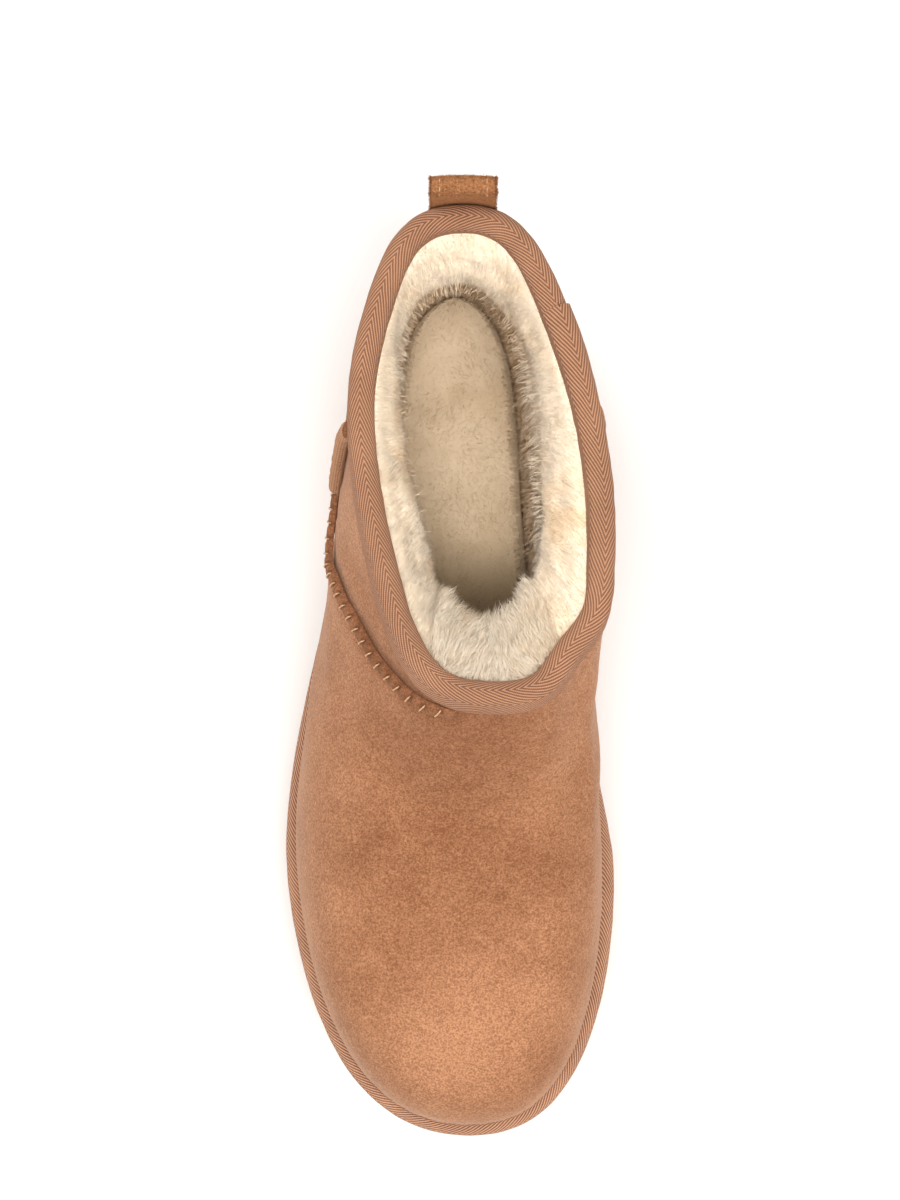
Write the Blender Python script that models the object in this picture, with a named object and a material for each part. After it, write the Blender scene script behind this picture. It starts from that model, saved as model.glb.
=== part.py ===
# Sheepskin ankle boot for the right foot, on a platform sole bound with woven tape.
# Metres, +Z up. The toe points to -Y, the big-toe side is +X, and the floor is z = 0.
# "Around" is how far round the boot a place is: 0 heel, 0.25 little-toe side, 0.5 toe tip,
# 0.75 big-toe side.
# "Up" runs from 0 at the foot of the upper to 1 at the collar's rim.

import math
from collections import namedtuple

import bmesh
import bpy
import numpy as np

# Gap kept between pieces that touch on the real boot
GAP = 0.0003

# Sole: outline outside the tape, and heights under the heel and under the ball of the foot
SOLE_LENGTH = 0.280
BALL_WIDTH = 0.1035
HEEL_OUTSOLE = 0.025
BALL_OUTSOLE = 0.021
MIDSOLE_THICK = 0.019
TOE_SPRING = 0.009
HEEL_SPRING = 0.003
ARCH_LIFT = 0.0035
OUTSOLE_INSET = 0.0006
OUTSOLE_ROUND = 0.0032
SIDE_GROOVE_DEPTH = 0.0012
SIDE_GROOVE_WIDTH = 0.0030

# Tread: wavy grooves that leave bars across the forefoot and the heel
GROOVE_WIDTH = 0.0042
GROOVE_DEPTH = 0.0032
GROOVE_PITCH = 0.0125
GROOVE_WAVE = 0.0022
TREAD_MARGIN = 0.0085

# Woven tape round the midsole
SOLE_TAPE = 0.0012
TAPE_ROUND = 0.0030
LEDGE = 0.0042

# Upper: suede wall, and the collar's rim
SUEDE = 0.0020
COLLAR_LENGTH = 0.1445
COLLAR_WIDTH = 0.0760
COLLAR_SETBACK = 0.0077
COLLAR_SHIFT = 0.0092
HEEL_HEIGHT = 0.1490
ANKLE_HEIGHT = 0.1385
INSTEP_HEIGHT = 0.1415

# Fleece, its pile where the tape presses it, and the footbed
PRESSED_PILE = 0.0026
FOOT_PILE = 0.0095
ROLL_DROP = 0.0190
LINING_DROP = 0.0010
LOCK_HEIGHT = 0.0034
INSOLE_THICK = 0.0085
INSOLE_ROUND = 0.0030

# Collar binding, a woven tape folded over the rim
BIND_TAPE = 0.0011
BIND_OUTSIDE = 0.0048
BIND_INSIDE = 0.0060
BIND_CROWN = 0.0030
BIND_LAP = 0.0009
BIND_JOIN = 0.893

# Raised seams, and the pull loop behind the heel
SEAM_WIDTH = 0.0042
SEAM_HEIGHT = 0.0022
SIDE_SEAM_WIDTH = 0.0050
SIDE_SEAM_HEIGHT = 0.0030
LOOP_WIDTH = 0.0190
LOOP_LAYER = 0.0018
LOOP_RISE = 0.0152
LOOP_DROP = 0.0260
LOOP_OPEN = 0.0022
LOOP_STRAIGHT = 0.70

# Mesh steps
STEPS_AROUND = 48
ENDS_DENSER = 0.028
RINGS_UP = (0.0, 0.06, 0.14, 0.24, 0.35, 0.47, 0.59, 0.70, 0.79, 0.87, 0.965, 1.0)

# Outline of the sole. Along is a share of the sole's length from the heel, and across is a share of
# the ball's width.
Edge = namedtuple("Edge", "along across")
SOLE_EDGE = [
    Edge(along=0.000, across=0.016),
    Edge(along=0.020, across=-0.135),
    Edge(along=0.085, across=-0.268),
    Edge(along=0.160, across=-0.310),
    Edge(along=0.250, across=-0.336),
    Edge(along=0.340, across=-0.357),
    Edge(along=0.411, across=-0.383),
    Edge(along=0.479, across=-0.422),
    Edge(along=0.546, across=-0.461),
    Edge(along=0.614, across=-0.489),
    Edge(along=0.682, across=-0.499),
    Edge(along=0.749, across=-0.482),
    Edge(along=0.816, across=-0.443),
    Edge(along=0.883, across=-0.377),
    Edge(along=0.940, across=-0.282),
    Edge(along=0.980, across=-0.155),
    Edge(along=1.000, across=0.060),
    Edge(along=0.980, across=0.255),
    Edge(along=0.940, across=0.358),
    Edge(along=0.883, across=0.431),
    Edge(along=0.816, across=0.477),
    Edge(along=0.749, across=0.497),
    Edge(along=0.682, across=0.494),
    Edge(along=0.614, across=0.461),
    Edge(along=0.546, across=0.441),
    Edge(along=0.460, across=0.424),
    Edge(along=0.380, across=0.396),
    Edge(along=0.290, across=0.374),
    Edge(along=0.190, across=0.358),
    Edge(along=0.085, across=0.300),
    Edge(along=0.020, across=0.170),
]

# Outline of the collar's rim, as shares of the collar's length from the back and of its width.
COLLAR_EDGE = [
    Edge(along=0.000, across=-0.070),
    Edge(along=0.020, across=-0.238),
    Edge(along=0.055, across=-0.315),
    Edge(along=0.121, across=-0.384),
    Edge(along=0.202, across=-0.438),
    Edge(along=0.313, across=-0.488),
    Edge(along=0.423, across=-0.500),
    Edge(along=0.524, across=-0.484),
    Edge(along=0.625, across=-0.452),
    Edge(along=0.726, across=-0.408),
    Edge(along=0.827, across=-0.355),
    Edge(along=0.907, across=-0.288),
    Edge(along=0.968, across=-0.188),
    Edge(along=1.000, across=0.032),
    Edge(along=0.968, across=0.272),
    Edge(along=0.907, across=0.358),
    Edge(along=0.827, across=0.468),
    Edge(along=0.726, across=0.497),
    Edge(along=0.625, across=0.500),
    Edge(along=0.524, across=0.486),
    Edge(along=0.423, across=0.455),
    Edge(along=0.313, across=0.399),
    Edge(along=0.202, across=0.321),
    Edge(along=0.121, across=0.252),
    Edge(along=0.055, across=0.172),
    Edge(along=0.020, across=0.094),
]

# Outline of the hollow between the rolls of fleece, as shares of the collar's length from its back
# and of its width.
HOLLOW_EDGE = [
    Edge(along=0.137, across=-0.070),
    Edge(along=0.155, across=-0.200),
    Edge(along=0.207, across=-0.279),
    Edge(along=0.346, across=-0.300),
    Edge(along=0.471, across=-0.275),
    Edge(along=0.589, across=-0.222),
    Edge(along=0.700, across=-0.168),
    Edge(along=0.786, across=-0.110),
    Edge(along=0.815, across=0.000),
    Edge(along=0.791, across=0.116),
    Edge(along=0.728, across=0.188),
    Edge(along=0.603, across=0.215),
    Edge(along=0.443, across=0.212),
    Edge(along=0.305, across=0.178),
    Edge(along=0.200, across=0.100),
    Edge(along=0.148, across=-0.016),
]

# How the upper climbs from the sole to the rim at each place around, as a curve with two handles.
# Its foot stands ledge in from the tape's edge. The first handle stands rise above the foot and flare
# outside it. The second hangs drop below the rim, lean of the way out towards the foot, and bulge
# outside that. Ledge is a share of the named ledge, and rise, flare, drop and bulge are shares of the
# upper's height there.
Climb = namedtuple("Climb", "around ledge rise flare drop lean bulge")
CLIMBS = [
    Climb(around=0.00, ledge=1.00, rise=0.40, flare=0.045, drop=0.34, lean=0.34, bulge=0.010),
    Climb(around=0.12, ledge=1.00, rise=0.40, flare=0.030, drop=0.34, lean=0.34, bulge=0.000),
    Climb(around=0.22, ledge=1.00, rise=0.42, flare=0.040, drop=0.34, lean=0.30, bulge=0.006),
    Climb(around=0.30, ledge=1.00, rise=0.44, flare=0.045, drop=0.40, lean=0.34, bulge=-0.010),
    Climb(around=0.38, ledge=1.00, rise=0.50, flare=0.060, drop=0.58, lean=0.42, bulge=0.000),
    Climb(around=0.44, ledge=0.92, rise=0.56, flare=0.070, drop=0.75, lean=0.39, bulge=0.000),
    Climb(around=0.50, ledge=0.90, rise=0.58, flare=0.065, drop=0.80, lean=0.36, bulge=0.000),
    Climb(around=0.56, ledge=0.95, rise=0.56, flare=0.050, drop=0.75, lean=0.39, bulge=-0.012),
    Climb(around=0.62, ledge=1.05, rise=0.48, flare=0.026, drop=0.58, lean=0.40, bulge=-0.060),
    Climb(around=0.70, ledge=1.05, rise=0.42, flare=0.020, drop=0.38, lean=0.30, bulge=-0.062),
    Climb(around=0.78, ledge=1.05, rise=0.42, flare=0.055, drop=0.34, lean=0.28, bulge=-0.005),
    Climb(around=0.88, ledge=1.00, rise=0.40, flare=0.045, drop=0.34, lean=0.34, bulge=0.005),
]

# The seam that joins the vamp to the shaft and the back. On each side it climbs from the sole to the
# collar's front, where it runs in under the binding. The side seams drop from the binding onto it.
SeamPoint = namedtuple("SeamPoint", "around up")
OUTER_VAMP_SEAM = [
    SeamPoint(around=0.132, up=0.030),
    SeamPoint(around=0.137, up=0.160),
    SeamPoint(around=0.150, up=0.330),
    SeamPoint(around=0.170, up=0.470),
    SeamPoint(around=0.190, up=0.553),
    SeamPoint(around=0.206, up=0.582),
    SeamPoint(around=0.222, up=0.592),
    SeamPoint(around=0.242, up=0.625),
    SeamPoint(around=0.272, up=0.712),
    SeamPoint(around=0.299, up=0.776),
    SeamPoint(around=0.328, up=0.838),
    SeamPoint(around=0.354, up=0.880),
    SeamPoint(around=0.381, up=0.913),
    SeamPoint(around=0.404, up=0.937),
    SeamPoint(around=0.428, up=0.953),
    SeamPoint(around=0.451, up=0.965),
    SeamPoint(around=0.474, up=0.971),
]
INNER_VAMP_SEAM = [
    SeamPoint(around=0.868, up=0.030),
    SeamPoint(around=0.862, up=0.160),
    SeamPoint(around=0.846, up=0.330),
    SeamPoint(around=0.820, up=0.470),
    SeamPoint(around=0.790, up=0.580),
    SeamPoint(around=0.762, up=0.670),
    SeamPoint(around=0.738, up=0.752),
    SeamPoint(around=0.716, up=0.822),
    SeamPoint(around=0.698, up=0.872),
    SeamPoint(around=0.682, up=0.912),
    SeamPoint(around=0.667, up=0.937),
    SeamPoint(around=0.654, up=0.951),
]
OUTER_SIDE_SEAM = (0.215, 0.190)
INNER_SIDE_SEAM = (0.797, 0.801)

# Colours, as the surface shows them
SUEDE_COLOUR = (0.52, 0.25, 0.11)
TAPE_COLOUR = (0.42, 0.20, 0.12)
FLEECE_COLOUR = (0.80, 0.68, 0.50)
THREAD_COLOUR = (0.55, 0.30, 0.15)
OUTSOLE_COLOUR = (0.45, 0.27, 0.14)
MIDSOLE_COLOUR = (0.60, 0.48, 0.36)


def blend(share):
    """Eases from 0 to 1 with no corner at either end."""
    held = np.clip(share, 0.0, 1.0)
    return held * held * (3.0 - 2.0 * held)


def closed_spline(knots, values, at):
    """The smooth closed curve through values at knots, which lie in 0 to 1, read at the given places."""
    knots = np.asarray(knots, float)
    values = np.asarray(values, float).reshape(len(knots), -1)
    count = len(knots)
    spans = np.diff(np.append(knots, knots[0] + 1.0))
    slopes = (np.roll(values, -1, axis=0) - values) / spans[:, None]
    matrix = np.zeros((count, count))
    for i in range(count):
        before = (i - 1) % count
        matrix[i, before] += spans[before]
        matrix[i, i] += 2.0 * (spans[before] + spans[i])
        matrix[i, (i + 1) % count] += spans[i]
    bends = np.linalg.solve(matrix, 6.0 * (slopes - np.roll(slopes, 1, axis=0)))
    at = (np.asarray(at, float) - knots[0]) % 1.0
    starts = knots - knots[0]
    i = np.clip(np.searchsorted(starts, at, side="right") - 1, 0, count - 1)
    after = (i + 1) % count
    h = spans[i][:, None]
    t = (at - starts[i])[:, None]
    rest = h - t
    curve = bends[i] * rest**3 / (6 * h) + bends[after] * t**3 / (6 * h)
    curve += (values[i] / h - bends[i] * h / 6) * rest + (values[after] / h - bends[after] * h / 6) * t
    return curve


class Outline:
    """A smooth closed plan curve from a table of edges, read by place around, heel 0 and toe 0.5."""

    FINE = 1440

    def __init__(self, edges, length, width, back_y, centre_x):
        places = [(centre_x + e.across * width, back_y - e.along * length) for e in edges]
        steps = [math.dist(a, b) for a, b in zip(places, places[1:] + places[:1])]
        knots = np.cumsum([0.0] + steps[:-1]) / sum(steps)
        shares = np.arange(self.FINE) / self.FINE
        fine = closed_spline(knots, places, shares)
        toe = knots[max(range(len(edges)), key=lambda i: edges[i].along)]
        lengths = np.linalg.norm(np.roll(fine, -1, axis=0) - fine, axis=1)
        run = np.concatenate([[0.0], np.cumsum(lengths)])
        toe_run = np.interp(toe, np.append(shares, 1.0), run)
        self.around = np.interp(run, [0.0, toe_run, run[-1]], [0.0, 0.5, 1.0])
        self.points = np.vstack([fine, fine[:1]])

    def at(self, around):
        around = np.asarray(around, float) % 1.0
        return np.stack([np.interp(around, self.around, self.points[:, k]) for k in (0, 1)], axis=-1)

    def outward(self, around):
        step = 0.004
        along = self.at(np.asarray(around) + step) - self.at(np.asarray(around) - step)
        along /= np.linalg.norm(along, axis=-1, keepdims=True)
        return np.stack([along[..., 1], -along[..., 0]], axis=-1)

    def inset(self, around, distance):
        return self.at(around) - self.outward(around) * distance


HEEL_Y = SOLE_LENGTH / 2
SOLE = Outline(SOLE_EDGE, SOLE_LENGTH, BALL_WIDTH, HEEL_Y, 0.0)
COLLAR = Outline(COLLAR_EDGE, COLLAR_LENGTH, COLLAR_WIDTH, HEEL_Y - COLLAR_SETBACK, COLLAR_SHIFT)
HOLLOW = Outline(HOLLOW_EDGE, COLLAR_LENGTH, COLLAR_WIDTH, HEEL_Y - COLLAR_SETBACK, COLLAR_SHIFT)


def along_of(y):
    """Share of the sole's length from the heel."""
    return (HEEL_Y - np.asarray(y, float)) / SOLE_LENGTH


def sole_underside(y):
    """Height of the underside: flat under heel and ball, lifted at the arch, the toe and the heel's back."""
    along = along_of(y)
    toe = TOE_SPRING * np.clip((along - 0.78) / 0.22, 0.0, 1.2) ** 2
    heel = HEEL_SPRING * np.clip((0.07 - along) / 0.07, 0.0, 1.2) ** 2
    arch = ARCH_LIFT * blend((along - 0.32) / 0.07) * blend((0.53 - along) / 0.07)
    return toe + heel + arch


def outsole_top(y):
    along = along_of(y)
    drop = blend((along - 0.15) / 0.5)
    thick = HEEL_OUTSOLE + (BALL_OUTSOLE - HEEL_OUTSOLE) * drop
    return thick + TOE_SPRING * np.clip((along - 0.72) / 0.28, 0.0, 1.2) ** 2


def midsole_top(y):
    return outsole_top(y) + GAP + MIDSOLE_THICK


def climb_values(around):
    """The climb table read smoothly at any place around."""
    flat = np.asarray(around, float).ravel() % 1.0
    values = closed_spline([c.around for c in CLIMBS], [c[1:] for c in CLIMBS], flat)
    return Climb(around, *values.T.reshape((-1,) + np.shape(around)))


def rim_height(around):
    turn = 2.0 * math.pi * np.asarray(around, float)
    back = np.clip(np.cos(turn), 0.0, 1.0) ** 2
    front = np.clip(-np.cos(turn), 0.0, 1.0) ** 2
    return ANKLE_HEIGHT + (HEEL_HEIGHT - ANKLE_HEIGHT) * back + (INSTEP_HEIGHT - ANKLE_HEIGHT) * front


def foot_line(around, further_in=0.0):
    """Where the upper stands on the sole in plan, or a line further in."""
    return SOLE.inset(around, (LEDGE * climb_values(around).ledge + further_in)[..., None])


def skin(around, up):
    """Points of the upper's outer surface."""
    around, up = np.broadcast_arrays(np.asarray(around, float), np.asarray(up, float))
    foot_plan = foot_line(around)
    foot = np.concatenate([foot_plan, (midsole_top(foot_plan[..., 1]) + GAP)[..., None]], axis=-1)
    rim = np.concatenate([COLLAR.at(around), rim_height(around)[..., None]], axis=-1)
    climb = climb_values(around)
    height = (rim - foot)[..., 2]
    level = np.array([0.0, 0.0, 1.0])
    foot_out = np.concatenate([SOLE.outward(around), np.zeros(around.shape + (1,))], axis=-1)
    rim_out = np.concatenate([COLLAR.outward(around), np.zeros(around.shape + (1,))], axis=-1)
    reach = (foot - rim) * (1.0, 1.0, 0.0)
    first = foot + (climb.rise * height)[..., None] * level + (climb.flare * height)[..., None] * foot_out
    second = rim - (climb.drop * height)[..., None] * level + climb.lean[..., None] * reach
    second += (climb.bulge * height)[..., None] * rim_out
    t = up[..., None]
    s = 1.0 - t
    return s**3 * foot + 3 * s * s * t * first + 3 * s * t * t * second + t**3 * rim


def skin_normal(around, up):
    """Outward unit normals of the skin, turned level at its foot so that each layer stands flat."""
    step = 0.003
    round_the_boot = skin(np.asarray(around) + step, up) - skin(np.asarray(around) - step, up)
    upward = skin(around, np.asarray(up) + step) - skin(around, np.asarray(up) - step)
    normal = np.cross(round_the_boot, upward)
    normal[..., 2] *= blend(np.broadcast_to(up, normal.shape[:-1]) / 0.12)
    return normal / np.linalg.norm(normal, axis=-1, keepdims=True)


def offset_skin(around, up, distance):
    """The skin moved outward by a distance, or inward by a negative one."""
    return skin(around, up) + skin_normal(around, up) * np.asarray(distance)[..., None]


def up_below_rim(around, distance):
    """Where the skin's wall lies a given distance below the rim."""
    ups = np.linspace(1.0, 0.0, 161)
    found = []
    for place, deep in zip(np.ravel(around), np.ravel(np.broadcast_to(distance, np.shape(around)))):
        line = skin(np.full(ups.shape, place), ups)
        run = np.concatenate([[0.0], np.cumsum(np.linalg.norm(np.diff(line, axis=0), axis=1))])
        found.append(np.interp(deep, run, ups))
    return np.array(found).reshape(np.shape(around))


def material(name, colour, roughness):
    made = bpy.data.materials.new(name)
    made.use_nodes = True
    shader = made.node_tree.nodes["Principled BSDF"]
    shader.inputs["Base Color"].default_value = (*colour, 1.0)
    shader.inputs["Roughness"].default_value = roughness
    shader.inputs["Metallic"].default_value = 0.0
    return made


def add_object(name, points, faces, finish):
    """One closed mesh as a named object, its faces turned outwards."""
    shape = bmesh.new()
    corners = [shape.verts.new(p) for p in points]
    for face in faces:
        shape.faces.new([corners[i] for i in face])
    bmesh.ops.recalc_face_normals(shape, faces=shape.faces)
    mesh = bpy.data.meshes.new(name)
    shape.to_mesh(mesh)
    shape.free()
    mesh.shade_smooth()
    mesh.set_sharp_from_angle(angle=math.radians(50))
    mesh.materials.append(finish)
    made = bpy.data.objects.new(name, mesh)
    bpy.context.scene.collection.objects.link(made)
    made.parent = bpy.data.objects["boot"]
    return made


def ring_faces(first, second, count):
    """Quads between two closed rings of points."""
    return [(first + i, first + (i + 1) % count, second + (i + 1) % count, second + i) for i in range(count)]


def hoop(name, rings, finish):
    """A closed band: rings of equal count, the last joined back to the first."""
    count = len(rings[0])
    faces = []
    for k in range(len(rings)):
        faces += ring_faces(k * count, (k + 1) % len(rings) * count, count)
    return add_object(name, np.vstack(rings), faces, finish)


def slab(name, rings, finish):
    """A sole layer: rings from underside to top, closed by strips that run from side to side."""
    count = len(rings[0])
    faces = []
    for k in range(len(rings) - 1):
        faces += ring_faces(k * count, (k + 1) * count, count)
    for start in (0, (len(rings) - 1) * count):
        faces.append((start, start + 1, start + count - 1))
        faces.append((start + count // 2, start + count // 2 + 1, start + count // 2 - 1))
        for i in range(1, count // 2 - 1):
            faces.append((start + i, start + i + 1, start + count - i - 1, start + count - i))
    return add_object(name, np.vstack(rings), faces, finish)


def rod(name, sections, finish):
    """A swept piece: cross-sections along a path, with flat ends."""
    count = len(sections[0])
    last = (len(sections) - 1) * count
    faces = [tuple(range(count)), tuple(range(last, last + count))]
    for k in range(len(sections) - 1):
        faces += ring_faces(k * count, (k + 1) * count, count)
    return add_object(name, np.vstack(sections), faces, finish)


def spaced_places(count):
    """Places around, set closer together at the heel and the toe."""
    even = np.arange(count) / count
    return even - ENDS_DENSER * np.sin(4.0 * math.pi * even)


PLACES = spaced_places(STEPS_AROUND)


def sole_ring(inset, height):
    """A ring on the sole's outline, with its height worked out from the place along the foot."""
    plan = SOLE.inset(PLACES, inset)
    return np.concatenate([plan, height(plan[:, 1])[:, None]], axis=1)


def foot_ring(further_in, height):
    """A ring that keeps its distance from the upper's foot."""
    plan = foot_line(PLACES, further_in)
    return np.concatenate([plan, height(plan[:, 1])[:, None]], axis=1)


def make_outsole(finish):
    def level(share, extra=0.0):
        return lambda y: sole_underside(y) + share * (outsole_top(y) - sole_underside(y)) + extra

    half = SIDE_GROOVE_WIDTH / 2
    rings = [
        sole_ring(OUTSOLE_INSET + OUTSOLE_ROUND, level(0.0)),
        sole_ring(OUTSOLE_INSET + OUTSOLE_ROUND * 0.3, level(0.0, OUTSOLE_ROUND * 0.4)),
        sole_ring(OUTSOLE_INSET, level(0.0, OUTSOLE_ROUND)),
        sole_ring(OUTSOLE_INSET, level(0.45, -half)),
        sole_ring(OUTSOLE_INSET + SIDE_GROOVE_DEPTH, level(0.45, -half * 0.3)),
        sole_ring(OUTSOLE_INSET + SIDE_GROOVE_DEPTH, level(0.45, half * 0.3)),
        sole_ring(OUTSOLE_INSET, level(0.45, half)),
        sole_ring(OUTSOLE_INSET, level(1.0)),
    ]
    outsole = slab("outsole", rings, finish)
    cutter = make_tread_cutter(finish)
    cut = outsole.modifiers.new("tread", "BOOLEAN")
    cut.operation = "DIFFERENCE"
    cut.object = cutter
    return outsole


def tread_lines():
    """How far along the sole each groove lies, over the flat of the heel and over the forefoot."""
    lines = []
    for start, end in ((0.055, 0.310), (0.555, 0.945)):
        count = int((end - start) * SOLE_LENGTH / GROOVE_PITCH)
        lines += [start + (end - start) * (k + 0.5) / count for k in range(count)]
    return lines


def width_at(y, inset):
    """The outer and inner edge of the sole at y, each taken in by the inset."""
    half = np.linspace(0.0, 0.5, 181)
    sides = []
    for places in (half, 1.0 - half):
        plan = SOLE.inset(places, inset)
        sides.append(float(np.interp(-y, -plan[:, 1], plan[:, 0])))
    return sides


def make_tread_cutter(finish):
    """Wavy bars, one for each groove, that follow the underside."""
    points = []
    faces = []
    steps = 8
    for along in tread_lines():
        y = HEEL_Y - along * SOLE_LENGTH
        left, right = width_at(y, TREAD_MARGIN)
        first = len(points)
        for k in range(steps + 1):
            x = left + (right - left) * k / steps
            centre = y + GROOVE_WAVE * math.sin(3.0 * 2.0 * math.pi * x / BALL_WIDTH)
            for side in (-1, 1):
                edge = centre + side * GROOVE_WIDTH / 2
                floor = float(sole_underside(edge))
                points.append((x, edge, floor - GROOVE_DEPTH))
                points.append((x, edge, floor + GROOVE_DEPTH))
        for k in range(steps):
            a = first + 4 * k
            b = a + 4
            faces += [(a, a + 1, b + 1, b), (a + 2, b + 2, b + 3, a + 3)]
            faces += [(a + 1, a + 3, b + 3, b + 1), (a, b, b + 2, a + 2)]
        end = first + 4 * steps
        faces += [(first, first + 2, first + 3, first + 1), (end, end + 1, end + 3, end + 2)]
    cutter = add_object("tread_cutter", points, faces, finish)
    cutter.hide_render = True
    cutter.display_type = "WIRE"
    return cutter


def tape_arc(radius, steps=3):
    """Insets and drops of a quarter round at the midsole's top edge, from its side to its top."""
    turns = [math.pi / 2 * k / steps for k in range(steps + 1)]
    return [(TAPE_ROUND - radius * math.cos(a), radius * math.sin(a) - TAPE_ROUND) for a in turns]


def tape_top(y):
    return midsole_top(y) + GAP + SOLE_TAPE


def make_midsole(finish):
    radius = TAPE_ROUND - SOLE_TAPE - GAP
    rings = [sole_ring(SOLE_TAPE + GAP, lambda y: outsole_top(y) + GAP)]
    for inset, drop in tape_arc(radius):
        rings.append(sole_ring(inset, lambda y, drop=drop: tape_top(y) + drop))
    return slab("midsole", rings, finish)


def make_sole_tape(finish):
    rings = [sole_ring(0.0, lambda y: outsole_top(y) + GAP)]
    for inset, drop in tape_arc(TAPE_ROUND):
        rings.append(sole_ring(inset, lambda y, drop=drop: tape_top(y) + drop))
    rings.append(foot_ring(-1.4 * GAP, tape_top))
    rings.append(foot_ring(-1.4 * GAP, lambda y: tape_top(y) - SOLE_TAPE))
    for inset, drop in reversed(tape_arc(TAPE_ROUND - SOLE_TAPE)):
        rings.append(sole_ring(inset, lambda y, drop=drop: tape_top(y) + drop))
    rings.append(sole_ring(SOLE_TAPE, lambda y: outsole_top(y) + GAP))
    return hoop("sole_tape", rings, finish)


def make_insole(finish):
    inset = SUEDE + FOOT_PILE + 3.0 * GAP

    def level(height):
        return lambda y: midsole_top(y) + GAP + height

    rings = [
        foot_ring(inset, level(0.0)),
        foot_ring(inset + 3.0 * GAP, level(INSOLE_THICK - INSOLE_ROUND)),
        foot_ring(inset + INSOLE_ROUND * 0.5, level(INSOLE_THICK - INSOLE_ROUND * 0.3)),
        foot_ring(inset + INSOLE_ROUND * 1.2, level(INSOLE_THICK)),
    ]
    return slab("insole", rings, finish)


def stand_on_midsole(ring):
    """Sets a ring's height so that it stands just clear of the midsole."""
    ring = ring.copy()
    ring[:, 2] = midsole_top(ring[:, 1]) + GAP
    return ring


def make_upper(finish):
    flat = np.ones(STEPS_AROUND)
    outer = [skin(PLACES, up * flat) for up in RINGS_UP]
    inner = [offset_skin(PLACES, up * flat, -SUEDE * flat) for up in RINGS_UP]
    inner[0] = stand_on_midsole(inner[0])
    return hoop("upper", outer + inner[::-1], finish)


def fleece_face(around, up):
    """The fleece's face towards the foot, from the footbed up to the hollow between its rolls."""
    around, up = np.broadcast_arrays(np.asarray(around, float), np.asarray(up, float))
    foot_plan = foot_line(around, SUEDE + GAP + FOOT_PILE)
    foot = np.concatenate([foot_plan, (midsole_top(foot_plan[..., 1]) + GAP)[..., None]], axis=-1)
    brim = rim_height(around) - BIND_INSIDE - ROLL_DROP
    hollow = np.concatenate([HOLLOW.at(around), brim[..., None]], axis=-1)
    climb = climb_values(around)
    level = np.array([0.0, 0.0, 1.0]) * (hollow - foot)[..., 2:]
    first = foot + climb.rise[..., None] * level
    second = hollow - 0.7 * climb.drop[..., None] * level
    second += climb.lean[..., None] * (foot - hollow) * (1.0, 1.0, 0.0)
    t = up[..., None]
    s = 1.0 - t
    return s**3 * foot + 3 * s * s * t * first + 3 * s * t * t * second + t**3 * hollow


def make_lining(finish):
    """The fleece, a hollow sock inside the suede, with locks raised where the collar lets them show."""
    flat = np.ones(STEPS_AROUND)
    top = up_below_rim(PLACES, LINING_DROP)
    outer = [offset_skin(PLACES, np.minimum(up * flat, top), -(SUEDE + GAP) * flat) for up in RINGS_UP[::-1]]
    outer[-1] = stand_on_midsole(outer[-1])
    pressed = -SUEDE - GAP - PRESSED_PILE
    past_tape = pressed - BIND_TAPE - 2.0 * GAP
    under_tape = up_below_rim(PLACES, BIND_INSIDE + 2.0 * GAP)
    inner = [offset_skin(PLACES, top, pressed * flat), offset_skin(PLACES, under_tape, pressed * flat)]
    inner.append(offset_skin(PLACES, under_tape, past_tape * flat))
    start = inner[-1]
    end = fleece_face(PLACES, flat)
    for turn in np.radians((25, 48, 69, 90)):
        inner.append(start + (end - start) * (math.sin(turn), math.sin(turn), 1.0 - math.cos(turn)))
    inner += [fleece_face(PLACES, up * flat) for up in (0.86, 0.70, 0.50, 0.28, 0.09, 0.0)]
    lining = hoop("fleece_lining", outer + inner[::-1], finish)
    raise_locks(lining, len(outer), len(inner))
    return lining


def raise_locks(lining, outer_rows, inner_rows):
    """Pulls every other face of the shaft's fleece up into a blunt lock of wool."""
    mesh = lining.data
    shape = bmesh.new()
    shape.from_mesh(mesh)
    shape.faces.ensure_lookup_table()
    chosen = []
    for row in range(4, 8):
        ring = outer_rows + inner_rows - 1 - row
        for i in range(STEPS_AROUND):
            if (row + i) % 2 == 0:
                chosen.append(shape.faces[(ring - 1) * STEPS_AROUND + i])
    for face in chosen:
        normal = face.normal.copy()
        centre = face.calc_center_median()
        size = math.sqrt(face.calc_area())
        raised = bmesh.ops.extrude_discrete_faces(shape, faces=[face])["faces"][0]
        for corner in raised.verts:
            corner.co = centre + (corner.co - centre) * 0.55 + normal * min(LOCK_HEIGHT, 0.6 * size)
    shape.to_mesh(mesh)
    shape.free()


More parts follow.
